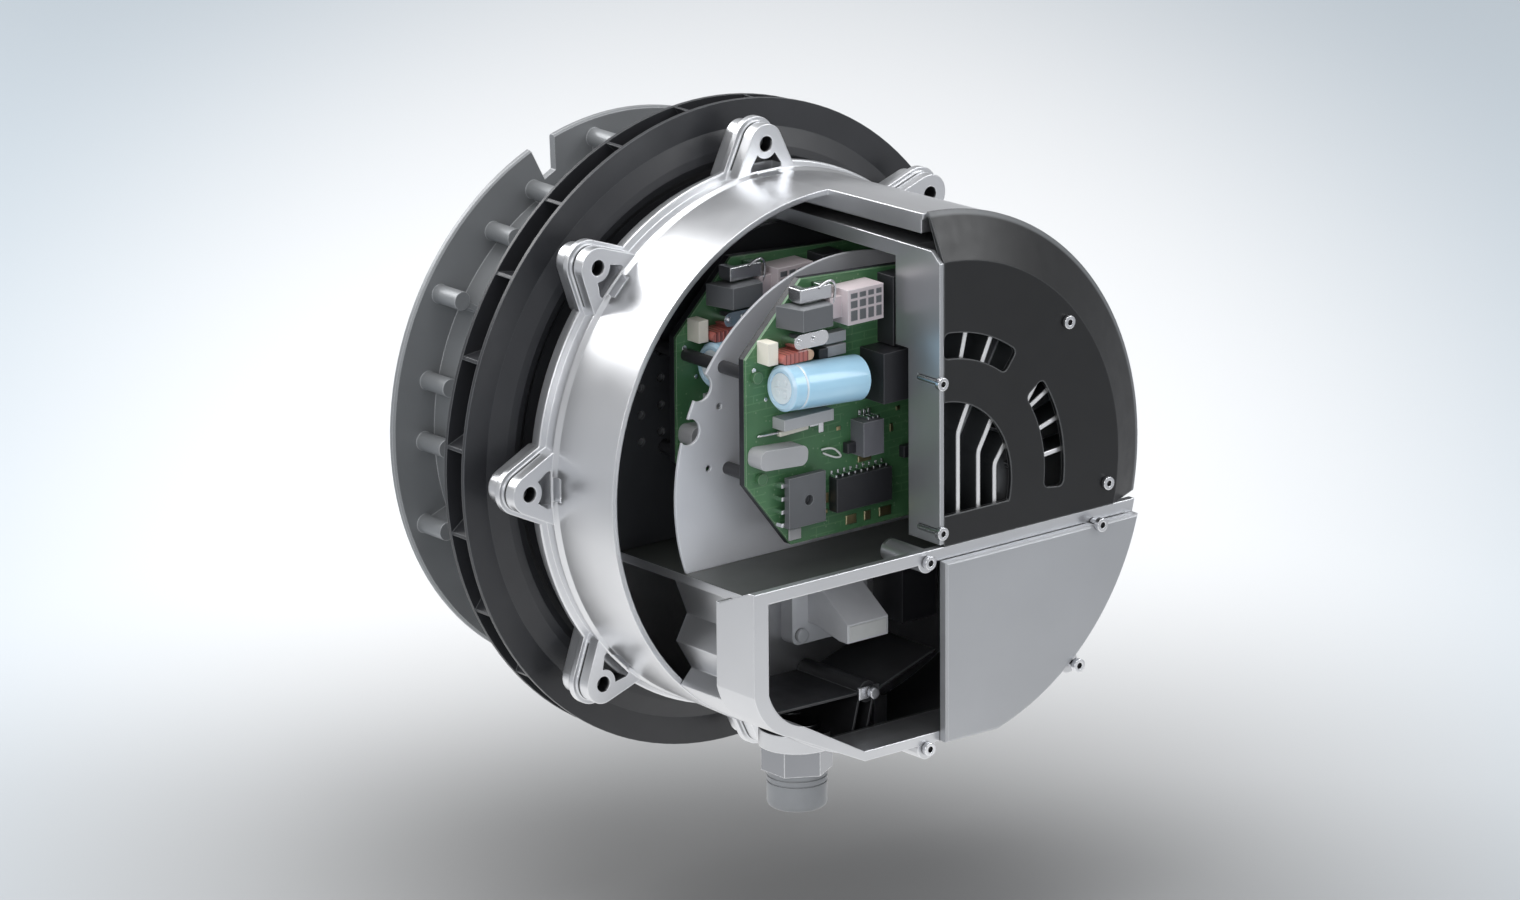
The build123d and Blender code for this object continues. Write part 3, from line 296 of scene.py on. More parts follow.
class Look:
    """A Principled material, with short calls for the procedural nodes that it uses."""

    def __init__(self, name, **sockets):
        self.material = bpy.data.materials.new(name)
        self.material.use_nodes = True
        self.tree = self.material.node_tree
        self.shader = self.tree.nodes["Principled BSDF"]
        for socket, value in sockets.items():
            self.shader.inputs[socket.replace("_", " ")].default_value = value
        self.place = self.add("ShaderNodeTexCoord").outputs["Object"]
        self.normal = None

    def add(self, kind, **settings):
        node = self.tree.nodes.new(kind)
        for key, value in settings.items():
            setattr(node, key, value)
        return node

    def join(self, output, socket):
        self.tree.links.new(output, socket)

    def put(self, value, socket):
        """Links a socket, or sets a number or colour."""
        if isinstance(value, bpy.types.NodeSocket):
            self.join(value, socket)
        else:
            socket.default_value = value

    def maths(self, operation, a, b=0.0):
        node = self.add("ShaderNodeMath", operation=operation)
        self.put(a, node.inputs[0])
        self.put(b, node.inputs[1])
        return node.outputs[0]

    def times(self, a, b):
        return self.maths("MULTIPLY", a, b)

    def other(self, value):
        """1 where the value is 0, and 0 where it is 1."""
        return self.maths("SUBTRACT", 1.0, value)

    def waves(self, value, pitch):
        """A sine wave along a value."""
        return self.maths("SINE", self.times(value, 2 * math.pi / pitch))

    def axes(self):
        """The place in millimetres, as separate X, Y and Z."""
        split = self.add("ShaderNodeSeparateXYZ")
        self.join(self.place, split.inputs[0])
        return [self.times(split.outputs[axis], 1.0 / MM) for axis in "XYZ"]

    def length(self, a, b):
        """How long the line from the origin to a point of a plane is."""
        return self.maths("SQRT", self.maths("ADD", self.maths("POWER", a, 2.0), self.maths("POWER", b, 2.0)))

    def radius(self):
        """Distance from the shaft axis, in millimetres."""
        _, y, z = self.axes()
        return self.length(y, z)

    def noise(self, scale, detail=3.0):
        node = self.add("ShaderNodeTexNoise")
        self.join(self.place, node.inputs["Vector"])
        node.inputs["Scale"].default_value = scale
        node.inputs["Detail"].default_value = detail
        return node.outputs["Fac"]

    def ramp(self, factor, low, high, start=0.3, end=0.7):
        """A colour or tone that goes from low to high as the factor goes from start to end."""
        node = self.add("ShaderNodeValToRGB")
        stops = node.color_ramp.elements
        stops[0].position = start
        stops[1].position = end
        stops[0].color = as_colour(low)
        stops[1].color = as_colour(high)
        self.join(factor, node.inputs["Fac"])
        return node.outputs["Color"]

    def clouds(self, scale, colour, low, high):
        """A colour that drifts between two shares of itself."""
        return self.ramp(self.noise(scale), scaled(colour, low), scaled(colour, high))

    def span(self, value, start, end):
        """0 below start and 1 above end, in the value's own unit."""
        node = self.add("ShaderNodeMapRange", interpolation_type="SMOOTHSTEP")
        self.join(value, node.inputs["Value"])
        node.inputs["From Min"].default_value = start
        node.inputs["From Max"].default_value = end
        return node.outputs[0]

    def blend(self, factor, first, second):
        node = self.add("ShaderNodeMix", data_type="RGBA")
        self.put(factor, node.inputs["Factor"])
        for socket, value in ((node.inputs[6], first), (node.inputs[7], second)):
            self.put(value if isinstance(value, bpy.types.NodeSocket) else as_colour(value), socket)
        return node.outputs[2]

    def edges(self, width):
        """1 along sharp edges and 0 on flat faces, from how far a rounded normal leans from the true one."""
        rounded = self.add("ShaderNodeBevel", samples=6)
        rounded.inputs["Radius"].default_value = width
        self.normal = rounded.outputs[0]
        lean = self.dot(self.normal, self.add("ShaderNodeNewGeometry").outputs["Normal"])
        return self.ramp(lean, 1.0, 0.0, start=0.90, end=0.995)

    def recess_shade(self, reach):
        """1 in the corners and sockets that are within reach of a wall, and 0 on open faces: the mask of
        painted shade.
        """
        node = self.add("ShaderNodeAmbientOcclusion", samples=8)
        node.inputs["Distance"].default_value = reach
        return self.ramp(node.outputs["AO"], 1.0, 0.0, start=0.45, end=0.85)

    def dot(self, a, b):
        node = self.add("ShaderNodeVectorMath", operation="DOT_PRODUCT")
        self.join(a, node.inputs[0])
        self.join(b, node.inputs[1])
        return node.outputs["Value"]

    def inward(self):
        """1 where the surface looks to the shaft axis, and 0 where it looks away from it."""
        split = self.add("ShaderNodeSeparateXYZ")
        flat = self.add("ShaderNodeCombineXYZ")
        self.join(self.place, split.inputs[0])
        self.join(split.outputs["Y"], flat.inputs["Y"])
        self.join(split.outputs["Z"], flat.inputs["Z"])
        radial = self.add("ShaderNodeVectorMath", operation="NORMALIZE")
        self.join(flat.outputs[0], radial.inputs[0])
        facing = self.dot(radial.outputs[0], self.add("ShaderNodeNewGeometry").outputs["Normal"])
        return self.other(self.span(facing, *INWARD_LEAN))

    def bump(self, height, distance):
        node = self.add("ShaderNodeBump")
        node.inputs["Strength"].default_value = 1.0
        node.inputs["Distance"].default_value = distance
        self.join(height, node.inputs["Height"])
        if self.normal is not None:
            self.join(self.normal, node.inputs["Normal"])
        self.normal = node.outputs[0]

    def finish(self, colour, roughness):
        self.join(colour, self.shader.inputs["Base Color"])
        self.join(roughness, self.shader.inputs["Roughness"])
        if self.normal is not None:
            self.join(self.normal, self.shader.inputs["Normal"])
        return self.material

    def finish_metal(self, colour, grain, low_rough, high_rough):
        """A fine cast grain and slightly changing gloss."""
        self.bump(self.noise(1600.0, detail=2.0), grain)
        return self.finish(colour, self.ramp(self.noise(60.0), low_rough, high_rough))


def as_colour(value):
    if isinstance(value, (int, float)):
        return (value, value, value, 1.0)
    return (*value, 1.0)


def scaled(colour, factor):
    return tuple(min(1.0, c * factor) for c in colour)


def cast_metal(name, colour, rough, edge_highlight, grain=CAST_GRAIN, metallic=1.0, edge_width=CASTING_EDGE,
               socket_shade=False):
    """Die-cast or sheet metal: faint cloudiness, fine grain, a painted highlight along sharp edges and
    perhaps painted shade in sockets.
    """
    look = Look(name, Metallic=metallic)
    edge = look.edges(edge_width)
    base = look.clouds(14.0, colour, 0.96, 1.04)
    # painted highlight: a bright tone along sharp edges
    base = look.blend(look.times(edge, 0.8), base, edge_highlight)
    if socket_shade:
        # painted shade: sockets and corners near a wall darkened towards a near-black tone
        base = look.blend(look.recess_shade(SOCKET_SHADE_REACH), base, SOCKET_SHADE_TONE)
    return look.finish_metal(base, grain, rough * 0.92, rough * 1.10)


def pocket_shade_mask(look, x):
    """1 on the floors and walls of the lugs' pockets and holes, and 0 elsewhere: the mask of their painted
    shade.
    """
    floors = look.other(look.span(x, *POCKET_FRONT_X))
    walls = look.times(look.recess_shade(POCKET_SHADE_REACH), look.other(look.span(x, *POCKET_MOUTH_X)))
    on_lugs = look.times(look.span(look.radius(), POCKET_INNER_R, POCKET_INNER_R + 1.0),
                         look.span(x, *POCKET_BACK_X))
    return look.times(look.maths("MAXIMUM", floors, walls), on_lugs)


def silver_casting(name, colour, rough, shade_below_shelf, shade_above_shelf, inside_x, pockets=False):
    """A silver casting with painted shade, a dark tone and less metal, where it looks inwards, and perhaps
    painted shade in its lugs' pockets.
    """
    look = Look(name, Metallic=SILVER_METALLIC)
    edge = look.edges(CASTING_EDGE)
    base = look.clouds(14.0, colour, 0.96, 1.04)
    x, _, z = look.axes()
    # painted shade: faces that look inwards get a dark tone and less metal
    inside_shade = look.times(look.inward(), look.other(look.span(x, inside_x - 1.0, inside_x)))
    # the painted shade is darker below the shelf than above it
    tone = look.blend(look.span(z, SHELF_Z - 1.0, SHELF_Z - 0.2), shade_below_shelf, shade_above_shelf)
    base = look.blend(inside_shade, base, tone)
    if pockets:
        # painted shade: the lugs' pockets, near black
        dark = pocket_shade_mask(look, x)
        base = look.blend(dark, base, POCKET_SHADE_TONE)
        inside_shade = look.maths("MAXIMUM", inside_shade, dark)
    shiny = look.other(inside_shade)
    look.join(look.times(shiny, SILVER_METALLIC), look.shader.inputs["Metallic"])
    # painted highlight: a bright tone along sharp edges, kept off the painted shade
    base = look.blend(look.times(look.times(edge, shiny), 0.8), base, EDGE_HIGHLIGHT)
    return look.finish_metal(base, CAST_GRAIN, rough * 0.92, rough * 1.10)


def finned_metal(name):
    """The heat sink: satin section and rim, painted shade between the fins, and a painted highlight on the
    fin fronts.
    """
    look = Look(name, Metallic=0.8)
    edge = look.edges(CASTING_EDGE)
    x, y, _ = look.axes()
    base = look.ramp(look.noise(14.0), (0.50, 0.515, 0.535), (0.52, 0.535, 0.55))
    behind_section = look.span(y, SECTION_Y, SECTION_Y + 0.2)
    among_fins = look.times(look.span(x, SINK_FACE_X, SINK_FACE_X + 0.6), behind_section)
    # painted shade: the face between the fins is darkened
    base = look.blend(among_fins, base, (0.10, 0.105, 0.11))
    fronts = look.times(among_fins, look.span(x, FIN_FRONT_X - 0.6, FIN_FRONT_X - 0.3))
    # painted highlight: the fin fronts are painted white
    base = look.blend(fronts, base, (1.0, 1.0, 1.0))
    # painted highlight: a bright tone along sharp edges
    base = look.blend(look.times(edge, 0.8), base, (0.90, 0.91, 0.93))
    return look.finish_metal(base, PLATED_GRAIN, 0.30, 0.32)


def turned_metal(name, colour, rough, edge_highlight, metallic=1.0):
    """Machined metal with fine turning lines round the shaft axis."""
    look = Look(name, Metallic=metallic)
    edge = look.edges(TURNED_EDGE)
    waver = look.noise(140.0)
    base = look.clouds(18.0, colour, 0.95, 1.05)
    # painted highlight: a bright tone along sharp edges
    base = look.blend(look.times(edge, 0.85), base, edge_highlight)
    look.bump(look.times(look.waves(look.radius(), TURNING_PITCH), waver), CAST_GRAIN)
    return look.finish(base, look.ramp(waver, rough * 0.9, rough * 1.15))


def moulded(name, colour, rough, edge_highlight=None, edge_width=PLASTIC_EDGE, rim_highlight=False):
    """Moulded plastic: fine spark-eroded grain, slight gloss changes, soft edges with a painted highlight,
    and perhaps a painted highlight on the rim.
    """
    look = Look(name)
    edge = look.edges(edge_width)
    base = look.clouds(35.0, colour, 0.92, 1.10)
    if rim_highlight:
        # painted highlight: a lighter band on the fan cover's rim
        rim = look.span(look.radius(), COVER_RIM_R, COVER_RIM_R + COVER_RIM_WIDTH)
        base = look.blend(rim, base, COVER_RIM_HIGHLIGHT)
    if edge_highlight is not None:
        # painted highlight: a lighter tone along sharp edges
        base = look.blend(look.times(edge, 0.75), base, edge_highlight)
    look.bump(look.noise(1800.0, detail=2.0), SPARK_GRAIN)
    return look.finish(base, look.ramp(look.noise(120.0, detail=2.0), rough * 0.9, rough * 1.15))


def circuit_board(name):
    """Green solder mask over copper: tracks, pads and tiny vias show as paler green."""
    look = Look(name)
    edge = look.edges(BOARD_EDGE)
    _, y, z = look.axes()
    plane = look.add("ShaderNodeCombineXYZ")
    look.join(y, plane.inputs["X"])
    look.join(z, plane.inputs["Y"])
    mask = look.ramp(look.noise(40.0, detail=4.0), (0.060, 0.170, 0.075), (0.085, 0.215, 0.095))
    tracks = look.add("ShaderNodeTexBrick")
    look.join(plane.outputs[0], tracks.inputs["Vector"])
    for socket, value in (("Scale", 0.09), ("Mortar Size", 0.03), ("Row Height", 0.35), ("Brick Width", 1.4)):
        tracks.inputs[socket].default_value = value
    patches = look.ramp(look.noise(45.0, detail=2.0), 0.0, 0.5, start=0.48, end=0.52)
    lines = look.times(tracks.outputs["Fac"], patches)
    base = look.blend(lines, mask, (0.14, 0.30, 0.14))
    spots = look.add("ShaderNodeTexVoronoi")
    look.join(look.place, spots.inputs["Vector"])
    spots.inputs["Scale"].default_value = 300.0
    vias = look.ramp(spots.outputs["Distance"], 0.7, 0.0, start=0.10, end=0.16)
    base = look.blend(vias, base, (0.24, 0.36, 0.22))
    # painted highlight: a paler green along the board's sharp edges
    base = look.blend(look.times(edge, 0.7), base, (0.42, 0.50, 0.38))
    look.bump(lines, TRACK_RELIEF)
    return look.finish(base, look.ramp(look.noise(150.0, detail=2.0), 0.28, 0.42))


def wound_wire(name):
    """Enamelled copper wire, turn beside turn."""
    look = Look(name, Metallic=0.9, Coat_Weight=0.4)
    base = look.ramp(look.noise(80.0), (0.42, 0.16, 0.07), (0.60, 0.26, 0.12))
    look.bump(look.waves(look.radius(), WIRE_PITCH), WIRE_RELIEF)
    return look.finish(base, look.ramp(look.noise(200.0), 0.25, 0.4))


def stacked_sheet(name):
    """A stack of thin steel sheets."""
    look = Look(name, Metallic=1.0)
    base = look.ramp(look.noise(60.0), (0.22, 0.23, 0.25), (0.34, 0.35, 0.37))
    look.bump(look.waves(look.axes()[0], SHEET_PITCH), SHEET_RELIEF)
    return look.finish(base, look.ramp(look.noise(200.0), 0.35, 0.5))


def striped_coil(name):
    """Red lacquered winding with darker gaps between its turns, and a bare end."""
    look = Look(name, Coat_Weight=0.5, Coat_Roughness=0.15)
    _, y, _ = look.axes()
    turns = look.waves(y, COIL_PITCH)
    lacquer = look.ramp(look.noise(70.0), (0.46, 0.13, 0.11), (0.58, 0.19, 0.16))
    base = look.blend(look.span(turns, 0.72, 0.95), lacquer, (0.16, 0.03, 0.025))
    base = look.blend(look.span(y, *COIL_END_Y), base, (0.62, 0.40, 0.27))
    look.bump(turns, COIL_RELIEF)
    return look.finish(base, look.ramp(look.noise(160.0), 0.28, 0.38))


def capacitor_sleeve(name):
    """Pale blue shrink sleeve with a white ring in the rolled groove, and a paler rim at the vented end."""
    look = Look(name, Coat_Weight=0.5, Coat_Roughness=0.10)
    low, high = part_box("control_capacitor")
    middle = (low + high) / 2 / MM
    _, y, z = look.axes()
    across = look.times(look.maths("SUBTRACT", middle.y, y), math.cos(CAPACITOR_TILT))
    rise = look.times(look.maths("SUBTRACT", z, middle.z), math.sin(CAPACITOR_TILT))
    along = look.maths("ADD", across, rise)
    sleeve = look.ramp(look.noise(40.0), (0.42, 0.71, 0.91), (0.48, 0.76, 0.94))
    ring = look.times(look.span(along, *CAPACITOR_RING), look.other(look.span(along, *CAPACITOR_RING_END)))
    base = look.blend(ring, sleeve, (0.86, 0.93, 0.98))
    base = look.blend(look.span(along, *CAPACITOR_RIM), base, (0.55, 0.75, 0.90))
    look.bump(look.noise(700.0, detail=2.0), CAST_GRAIN)
    return look.finish(base, look.ramp(look.noise(90.0), 0.16, 0.24))


def make_metals():
    """Metal looks, named by the record's slot, by one node, or by a small piece."""
    return {
        "housing": silver_casting("housing_silver", (0.78, 0.79, 0.81), 0.30, (0.05, 0.05, 0.052),
                                  (0.085, 0.085, 0.09), HOUSING_INSIDE_X, pockets=True),
        "terminal_box": silver_casting("box_silver", (0.68, 0.69, 0.71), 0.32, (0.030, 0.030, 0.032),
                                       (0.055, 0.06, 0.056), BOX_INSIDE_X),
        "cast_grey": cast_metal("cast_grey", (0.30, 0.31, 0.32), 0.42, (0.55, 0.56, 0.58), metallic=0.6),
        "heat_sink": finned_metal("sink_aluminium"),
        "rotor_casting": turned_metal("turned_grey", (0.29, 0.30, 0.31), 0.42, (0.62, 0.63, 0.65), 0.35),
        "steel": turned_metal("ground_steel", (0.68, 0.69, 0.71), 0.24, EDGE_HIGHLIGHT),
        "screw_steel": cast_metal("zinc_steel", (0.76, 0.77, 0.80), 0.24, EDGE_HIGHLIGHT, PLATED_GRAIN,
                                  socket_shade=True),
        "magnet": cast_metal("sintered_magnet", (0.10, 0.10, 0.11), 0.55, (0.2, 0.2, 0.22)),
        "lamination": stacked_sheet("stacked_sheet"),
        "copper": wound_wire("wound_wire"),
        "sheet_grey": cast_metal("sheet_grey", (0.80, 0.81, 0.85), 0.42, (0.88, 0.89, 0.92), metallic=0.3),
        "terminal_block_screws": cast_metal("bright_screw", (0.90, 0.91, 0.93), 0.30, EDGE_HIGHLIGHT,
                                            PLATED_GRAIN, 0.3, socket_shade=True),
        "chrome_can": cast_metal("bright_can", (0.90, 0.91, 0.93), 0.20, EDGE_HIGHLIGHT, CHROME_GRAIN,
                                 edge_width=CAN_EDGE),
        "cover_grey": cast_metal("cover_grey", (0.48, 0.49, 0.51), 0.40, (0.80, 0.81, 0.83), metallic=0.6),
        "gland_metal": cast_metal("gland_metal", (0.30, 0.31, 0.33), 0.20, EDGE_HIGHLIGHT, PLATED_GRAIN),
        "gold": cast_metal("gold_pad", (0.62, 0.52, 0.28), 0.35, (0.80, 0.72, 0.48), SATIN_GRAIN),
    }


def make_plastics():
    """Plastic and lacquer looks, named by the record's slot, by one node, or by a small piece."""
    return {
        "black_plastic": moulded("wheel_black", (0.032, 0.033, 0.037), 0.36, (0.20, 0.21, 0.22)),
        "cover_black": moulded("cover_black", (0.009, 0.0095, 0.0105), 0.34, (0.20, 0.205, 0.21), COVER_EDGE,
                               rim_highlight=True),
        "dark_sheet": moulded("dark_coating", (0.018, 0.019, 0.023), 0.40, (0.08, 0.08, 0.085)),
        "floor_liner": moulded("liner_grey", (0.055, 0.057, 0.063), 0.34, (0.12, 0.12, 0.125)),
        "tray_black": moulded("tray_black", (0.022, 0.022, 0.024), 0.36, (0.30, 0.31, 0.32), TRAY_EDGE),
        "white_plastic": moulded("white_plastic", (0.62, 0.62, 0.58), 0.45),
        "board_green": circuit_board("circuit_board"),
        "capacitor_blue": capacitor_sleeve("capacitor_sleeve"),
        "connector_pale": moulded("connector_pale", (0.62, 0.54, 0.56), 0.40, (0.88, 0.85, 0.86)),
        "component_grey": moulded("component_grey", (0.125, 0.13, 0.138), 0.40, (0.34, 0.35, 0.36)),
        "terminal_block": moulded("terminal_pale", (0.86, 0.86, 0.88), 0.36, (0.95, 0.95, 0.96)),
        "glossy_dome": moulded("glossy_dome", (0.12, 0.122, 0.126), 0.12, (0.30, 0.31, 0.32)),
        "driver_blocks": moulded("driver_grey", (0.135, 0.135, 0.15), 0.36, (0.40, 0.40, 0.42)),
        "component_pale": moulded("component_pale", (0.42, 0.42, 0.43), 0.40, (0.70, 0.70, 0.70)),
        "component_cream": moulded("component_cream", (0.80, 0.76, 0.66), 0.42, (0.92, 0.90, 0.84)),
        "coil_red": striped_coil("coil_red"),
        "component_black": moulded("component_black", (0.026, 0.026, 0.030), 0.40, (0.13, 0.13, 0.14)),
        "rubber_black": moulded("rubber_black", (0.015, 0.015, 0.016), 0.6),
        "gland_grey": moulded("gland_grey", (0.33, 0.34, 0.355), 0.38, (0.50, 0.51, 0.52)),
        "white_wire": moulded("white_wire", (0.80, 0.80, 0.78), 0.35),
        "board_screws": moulded("lacquered_screw", (0.075, 0.18, 0.085), 0.35, (0.30, 0.38, 0.28)),
        "board_spacers": moulded("black_spacer", (0.03, 0.03, 0.033), 0.40, (0.12, 0.12, 0.13)),
        "capacitor_end": moulded("capacitor_end", (0.76, 0.83, 0.87), 0.35, (0.90, 0.93, 0.95)),
    }


def paint_nodes(looks):
    """Gives each node its own look, or else its slot's."""
    slots = {part["node"]: part["material_slot"] for part in frame["record"]["subparts"]}
    for node, piece in NODES.items():
        look = looks[node if node in looks else slots[node]]
        for holder in piece.material_slots:
            holder.link = "OBJECT"
            holder.material = look
        if not piece.material_slots:
            piece.data.materials.append(look)


# Small pieces, in millimetres

class Solids:
    """Small solids gathered in one mesh piece that rides on the stator."""

    def __init__(self, name, look, slot):
        self.name = name
        self.look = look
        self.slot = slot
        self.shape = bmesh.new()

    def prism(self, outline, x0, x1):
        """An outline in the YZ plane, drawn out from x0 to x1."""
        low = [self.shape.verts.new((x0, y, z)) for y, z in outline]
        high = [self.shape.verts.new((x1, y, z)) for y, z in outline]
        self.shape.faces.new(low)
        self.shape.faces.new(high[::-1])
        count = len(outline)
        for i in range(count):
            j = (i + 1) % count
            self.shape.faces.new((low[i], low[j], high[j], high[i]))

    def box(self, spans, x=0.0, y=0.0, z=0.0):
        """A box, from its spans x0, x1, y0, y1, z0, z1 and the place that they start from."""
        x0, x1, y0, y1, z0, z1 = spans
        outline = ((y + y0, z + z0), (y + y1, z + z0), (y + y1, z + z1), (y + y0, z + z1))
        self.prism(outline, x + x0, x + x1)

    def round(self, y, z, r, x0, x1, steps=24):
        """A short rod along X."""
        angles = [2 * math.pi * i / steps for i in range(steps)]
        self.prism([(y + r * math.cos(a), z + r * math.sin(a)) for a in angles], x0, x1)

    def strip(self, start, end, width, x0, x1):
        """A straight strip between two points of the YZ plane."""
        a, b = Vector(start), Vector(end)
        side = (b - a).normalized().orthogonal() * width / 2
        self.prism([tuple(a + side), tuple(b + side), tuple(b - side), tuple(a - side)], x0, x1)

    def dome(self, x, y, z, radii):
        """The half of an ellipsoid in front of x."""
        place = Matrix.Translation((x, y, z)) @ Matrix.Diagonal((*radii, 1.0))
        whole = bmesh.ops.create_uvsphere(self.shape, u_segments=40, v_segments=24, radius=1.0, matrix=place)
        ball = [*whole["verts"], *self.shape.edges, *self.shape.faces]
        cut = bmesh.ops.bisect_plane(self.shape, geom=ball, plane_co=(x, y, z), plane_no=(1.0, 0.0, 0.0),
                                     clear_inner=True)
        rim = [edge for edge in cut["geom_cut"] if isinstance(edge, bmesh.types.BMEdge)]
        bmesh.ops.holes_fill(self.shape, edges=rim)

    def done(self, bevel):
        """The finished piece, its edges softened by a bevel of this width."""
        bmesh.ops.recalc_face_normals(self.shape, faces=self.shape.faces)
        bmesh.ops.scale(self.shape, vec=(MM, MM, MM), verts=self.shape.verts)
        mesh = bpy.data.meshes.new(self.name)
        self.shape.to_mesh(mesh)
        self.shape.free()
        piece = add_object(self.name, mesh)
        mesh.materials.append(self.look)
        softened = piece.modifiers.new("soft_edges", "BEVEL")
        softened.width = bevel * MM
        softened.segments = 2
        softened.angle_limit = BEVEL_ANGLE
        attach(piece, "stator")
        return piece


def wire(name, face, points, r, look):
    """A bent wire through points whose X is measured from a board's face."""
    data = bpy.data.curves.new(name, "CURVE")
    data.dimensions = "3D"
    data.bevel_depth = r * MM
    data.bevel_resolution = 3
    data.use_fill_caps = True
    line = data.splines.new("NURBS")
    line.points.add(len(points) - 1)
    for knot, (x, y, z) in zip(line.points, points):
        knot.co = ((face + x) * MM, y * MM, z * MM, 1.0)
    line.order_u = 3
    line.use_endpoint_u = True
    piece = add_object(name, data)
    data.materials.append(look)
    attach(piece, "stator")


def make_board_parts(looks):
    """Pins, pads, small blocks, connector windows and a bare tab, the same on both boards."""
    pins = Solids("board_pins", looks["chrome_can"], "chrome_can")
    pads = Solids("board_pads", looks["gold"], "copper")
    blocks = Solids("board_blocks", looks["component_black"], "component_black")
    windows = Solids("connector_windows", looks["component_grey"], "component_grey")
    tabs = Solids("board_tabs", looks["component_pale"], "component_pale")
    for face in BOARD_FACES:
        for places, boxes in ((CHIP_PINS, CHIP_PIN_BOXES), (DRIVER_PINS, DRIVER_PIN_BOXES)):
            for y, z in places:
                for spans in boxes:
                    pins.box(spans, face, y, z)
        for y, z in CAN_PINS:
            pins.round(y, z, CAN_PIN_R, face + CAN_PIN_X[0], face + CAN_PIN_X[1])
        for y, z, r in SOLDER_DOTS:
            pins.round(y, z, r, face, face + SOLDER_HEIGHT)
        for pad in GOLD_PADS:
            pads.box((0.0, GOLD_HEIGHT, *pad), face)
        for spans in DARK_BLOCKS:
            blocks.box(spans, face)
        for column in WINDOW_COLUMNS:
            for row in WINDOW_ROWS:
                windows.box((*WINDOW_X, *column, *row), face)
        tabs.box(BARE_TAB, face)
    pins.done(bevel=0.2)
    pads.done(bevel=0.1)
    blocks.done(bevel=0.4)
    windows.done(bevel=0.05)
    tabs.done(bevel=0.2)


def make_board_wires(looks):
    """A clip's spring, a loose loop of wire, a resistor with its lead and a shunt's foot, on both boards."""
    steel = looks["screw_steel"]
    for number, face in enumerate(BOARD_FACES, 1):
        wire(f"clip_spring_{number}", face, CLIP_SPRING, CLIP_SPRING_R, steel)
        wire(f"loose_loop_{number}", face, LOOSE_LOOP, LOOSE_LOOP_R, looks["white_wire"])
        wire(f"resistor_lead_{number}", face, RESISTOR_LEAD, RESISTOR_LEAD_R, steel)
        resistor = Solids(f"flat_resistor_{number}", looks["component_cream"], "component_cream")
        resistor.strip(*RESISTOR_ENDS, RESISTOR_WIDTH, face + RESISTOR_X[0], face + RESISTOR_X[1])
        resistor.done(bevel=0.6)
        foot = Solids(f"shunt_foot_{number}", looks["chrome_can"], "chrome_can")
        for spans in SHUNT_FOOT:
            foot.box(spans, face)
        foot.done(bevel=0.4)


def make_capacitor_ends(looks):
    """The vented end discs of both capacitors."""
    axis = Vector((0.0, -math.cos(CAPACITOR_TILT), math.sin(CAPACITOR_TILT)))
    turn = Vector((1.0, 0.0, 0.0)).rotation_difference(axis).to_matrix().to_4x4()
    face = END_DISC_X[1]
    for number, node in enumerate(("control_capacitor", "power_capacitor"), 1):
        low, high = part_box(node)
        disc = Solids(f"capacitor_end_{number}", looks["capacitor_end"], "capacitor_blue")
        disc.round(0.0, 0.0, END_DISC_R, *END_DISC_X, steps=40)
        for y, z in END_STUDS:
            disc.round(y, z, END_STUD_R, face, END_STUD_TOP, steps=16)
        disc.strip((-END_RIB_HALF, 0.0), (END_RIB_HALF, 0.0), END_RIB_WIDTH, face, END_RIB_TOP)
        piece = disc.done(bevel=0.15)
        place = (low + high) / 2 + axis * (CAPACITOR_HALF - END_DISC_INSET) * MM
        piece.matrix_world = Matrix.Translation(place) @ turn


def make_backings(looks):
    """A black carrier sheet behind each circuit board, with the board's own outline."""
    for number, board in enumerate(BOARDS, 1):
        low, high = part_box(board)
        piece = add_object(f"board_backing_{number}", NODES[board].data.copy())
        piece.data.materials.clear()
        piece.data.materials.append(looks["dark_sheet"])
        behind = Matrix.Translation((low.x - BACKING_DEPTH * MM, 0.0, 0.0))
        thinned = Matrix.Diagonal((BACKING_T * MM / (high.x - low.x), 1.0, 1.0, 1.0))
        piece.matrix_world = behind @ thinned @ Matrix.Translation((-low.x, 0.0, 0.0))
        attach(piece, "stator")


def make_block_label(looks):
    """The bare label plate on the terminal block's front."""
    _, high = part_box("terminal_block")
    label = Solids("block_label", looks["white_wire"], "white_plastic")
    label.box(LABEL_BOX, high.x / MM)
    label.done(bevel=0.2)


def make_sink_dome(looks):
    """The rounded hump on the heat sink's face, at the lower right of the fan cover's eye."""
    dome = Solids("sink_dome", looks["glossy_dome"], "cast_grey")
    dome.dome(SINK_FACE_X - DOME_BACK, *DOME_PLACE, DOME_RADII)
    dome.done(bevel=0.2)


def make_tray(looks):
    """Ribs and boss of the dark moulding in the terminal compartment, with the earth clamp on the boss."""
    ribs = Solids("terminal_tray", looks["tray_black"], "black_plastic")
    for start, end in TRAY_RIBS:
        ribs.strip(start, end, TRAY_RIB_T, *TRAY_X)
    ribs.round(*TRAY_BOSS, TRAY_BOSS_R, *TRAY_X, steps=32)
    ribs.done(bevel=0.3)
    clamp = Solids("earth_clamp", looks["screw_steel"], "screw_steel")
    top = TRAY_X[1]
    y, z = TRAY_BOSS
    clamp.box(CLAMP_BOX, top, y, z)
    clamp.round(y + CLAMP_SCREW_Y, z, CLAMP_SCREW_R, top + CLAMP_SCREW_X[0], top + CLAMP_SCREW_X[1])
    clamp.done(bevel=0.3)


# Stage

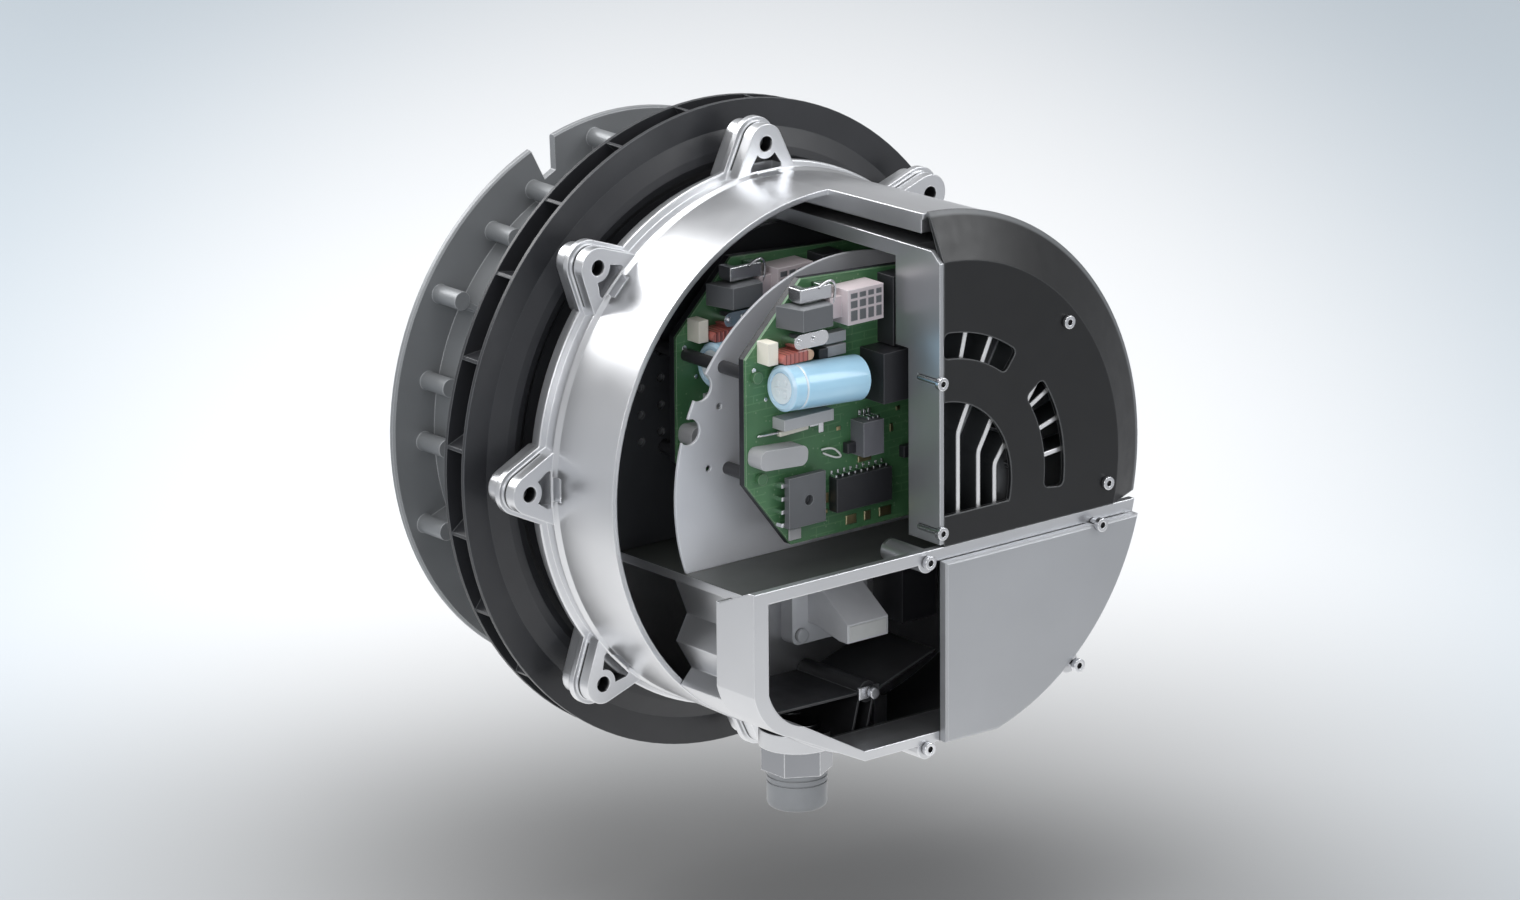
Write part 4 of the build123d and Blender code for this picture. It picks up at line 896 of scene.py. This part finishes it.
def floor_look():
    """Pale grey, whiter in a painted pool of light behind the object, darker in a painted shadow under it,
    and glowing for glossy rays as a painted reflection in the metal.
    """
    look = Look("pale_floor", Roughness=0.8, Specular_IOR_Level=0.1)
    turned = look.add("ShaderNodeMapping", vector_type="POINT")
    look.join(look.place, turned.inputs["Vector"])
    turned.inputs["Rotation"].default_value = (0.0, 0.0, -AZIMUTH)
    split = look.add("ShaderNodeSeparateXYZ")
    look.join(turned.outputs[0], split.inputs[0])
    across = look.maths("DIVIDE", split.outputs["X"], POOL_WIDTH)
    behind = look.maths("DIVIDE", look.maths("SUBTRACT", split.outputs["Y"], POOL_BEHIND), POOL_DEPTH)
    # painted pool of light: paler behind the object
    base = look.blend(look.span(look.length(across, behind), *POOL_FADE), POOL_TONE, FLOOR_TONE)
    away = look.add("ShaderNodeVectorMath", operation="LENGTH")
    look.join(look.place, away.inputs[0])
    # painted shadow: darker around the point under the object
    base = look.blend(look.span(away.outputs["Value"], 0.0, SHADE_RADIUS), SHADE_TONE, base)
    look.finish(base, look.ramp(look.noise(3.0), 0.78, 0.84))
    # painted reflection: the floor glows for glossy rays, whiter near the object
    mirror = look.add("ShaderNodeEmission")
    tone = look.blend(look.span(away.outputs["Value"], *MIRROR_FADE), MIRROR_NEAR, MIRROR_FAR)
    look.join(tone, mirror.inputs["Color"])
    seen = look.add("ShaderNodeLightPath")
    mix = look.add("ShaderNodeMixShader")
    look.join(seen.outputs["Is Glossy Ray"], mix.inputs["Fac"])
    look.join(look.shader.outputs[0], mix.inputs[1])
    look.join(mirror.outputs[0], mix.inputs[2])
    look.join(mix.outputs[0], look.tree.nodes["Material Output"].inputs["Surface"])
    return look.material


def make_stage():
    """A level floor under the object."""
    mesh = bpy.data.meshes.new("floor")
    shape = bmesh.new()
    bmesh.ops.create_grid(shape, x_segments=1, y_segments=1, size=FLOOR_SIZE / 2)
    shape.to_mesh(mesh)
    shape.free()
    floor = add_object("floor", mesh)
    floor.location.z = FLOOR_Z
    mesh.materials.append(floor_look())


def main():
    bpy.context.scene.view_settings.view_transform = "Standard"
    make_camera()
    make_world()
    make_lights()
    make_stage()
    looks = make_metals() | make_plastics()
    paint_nodes(looks)
    make_board_parts(looks)
    make_board_wires(looks)
    make_capacitor_ends(looks)
    make_backings(looks)
    make_sink_dome(looks)
    make_block_label(looks)
    make_tray(looks)


main()
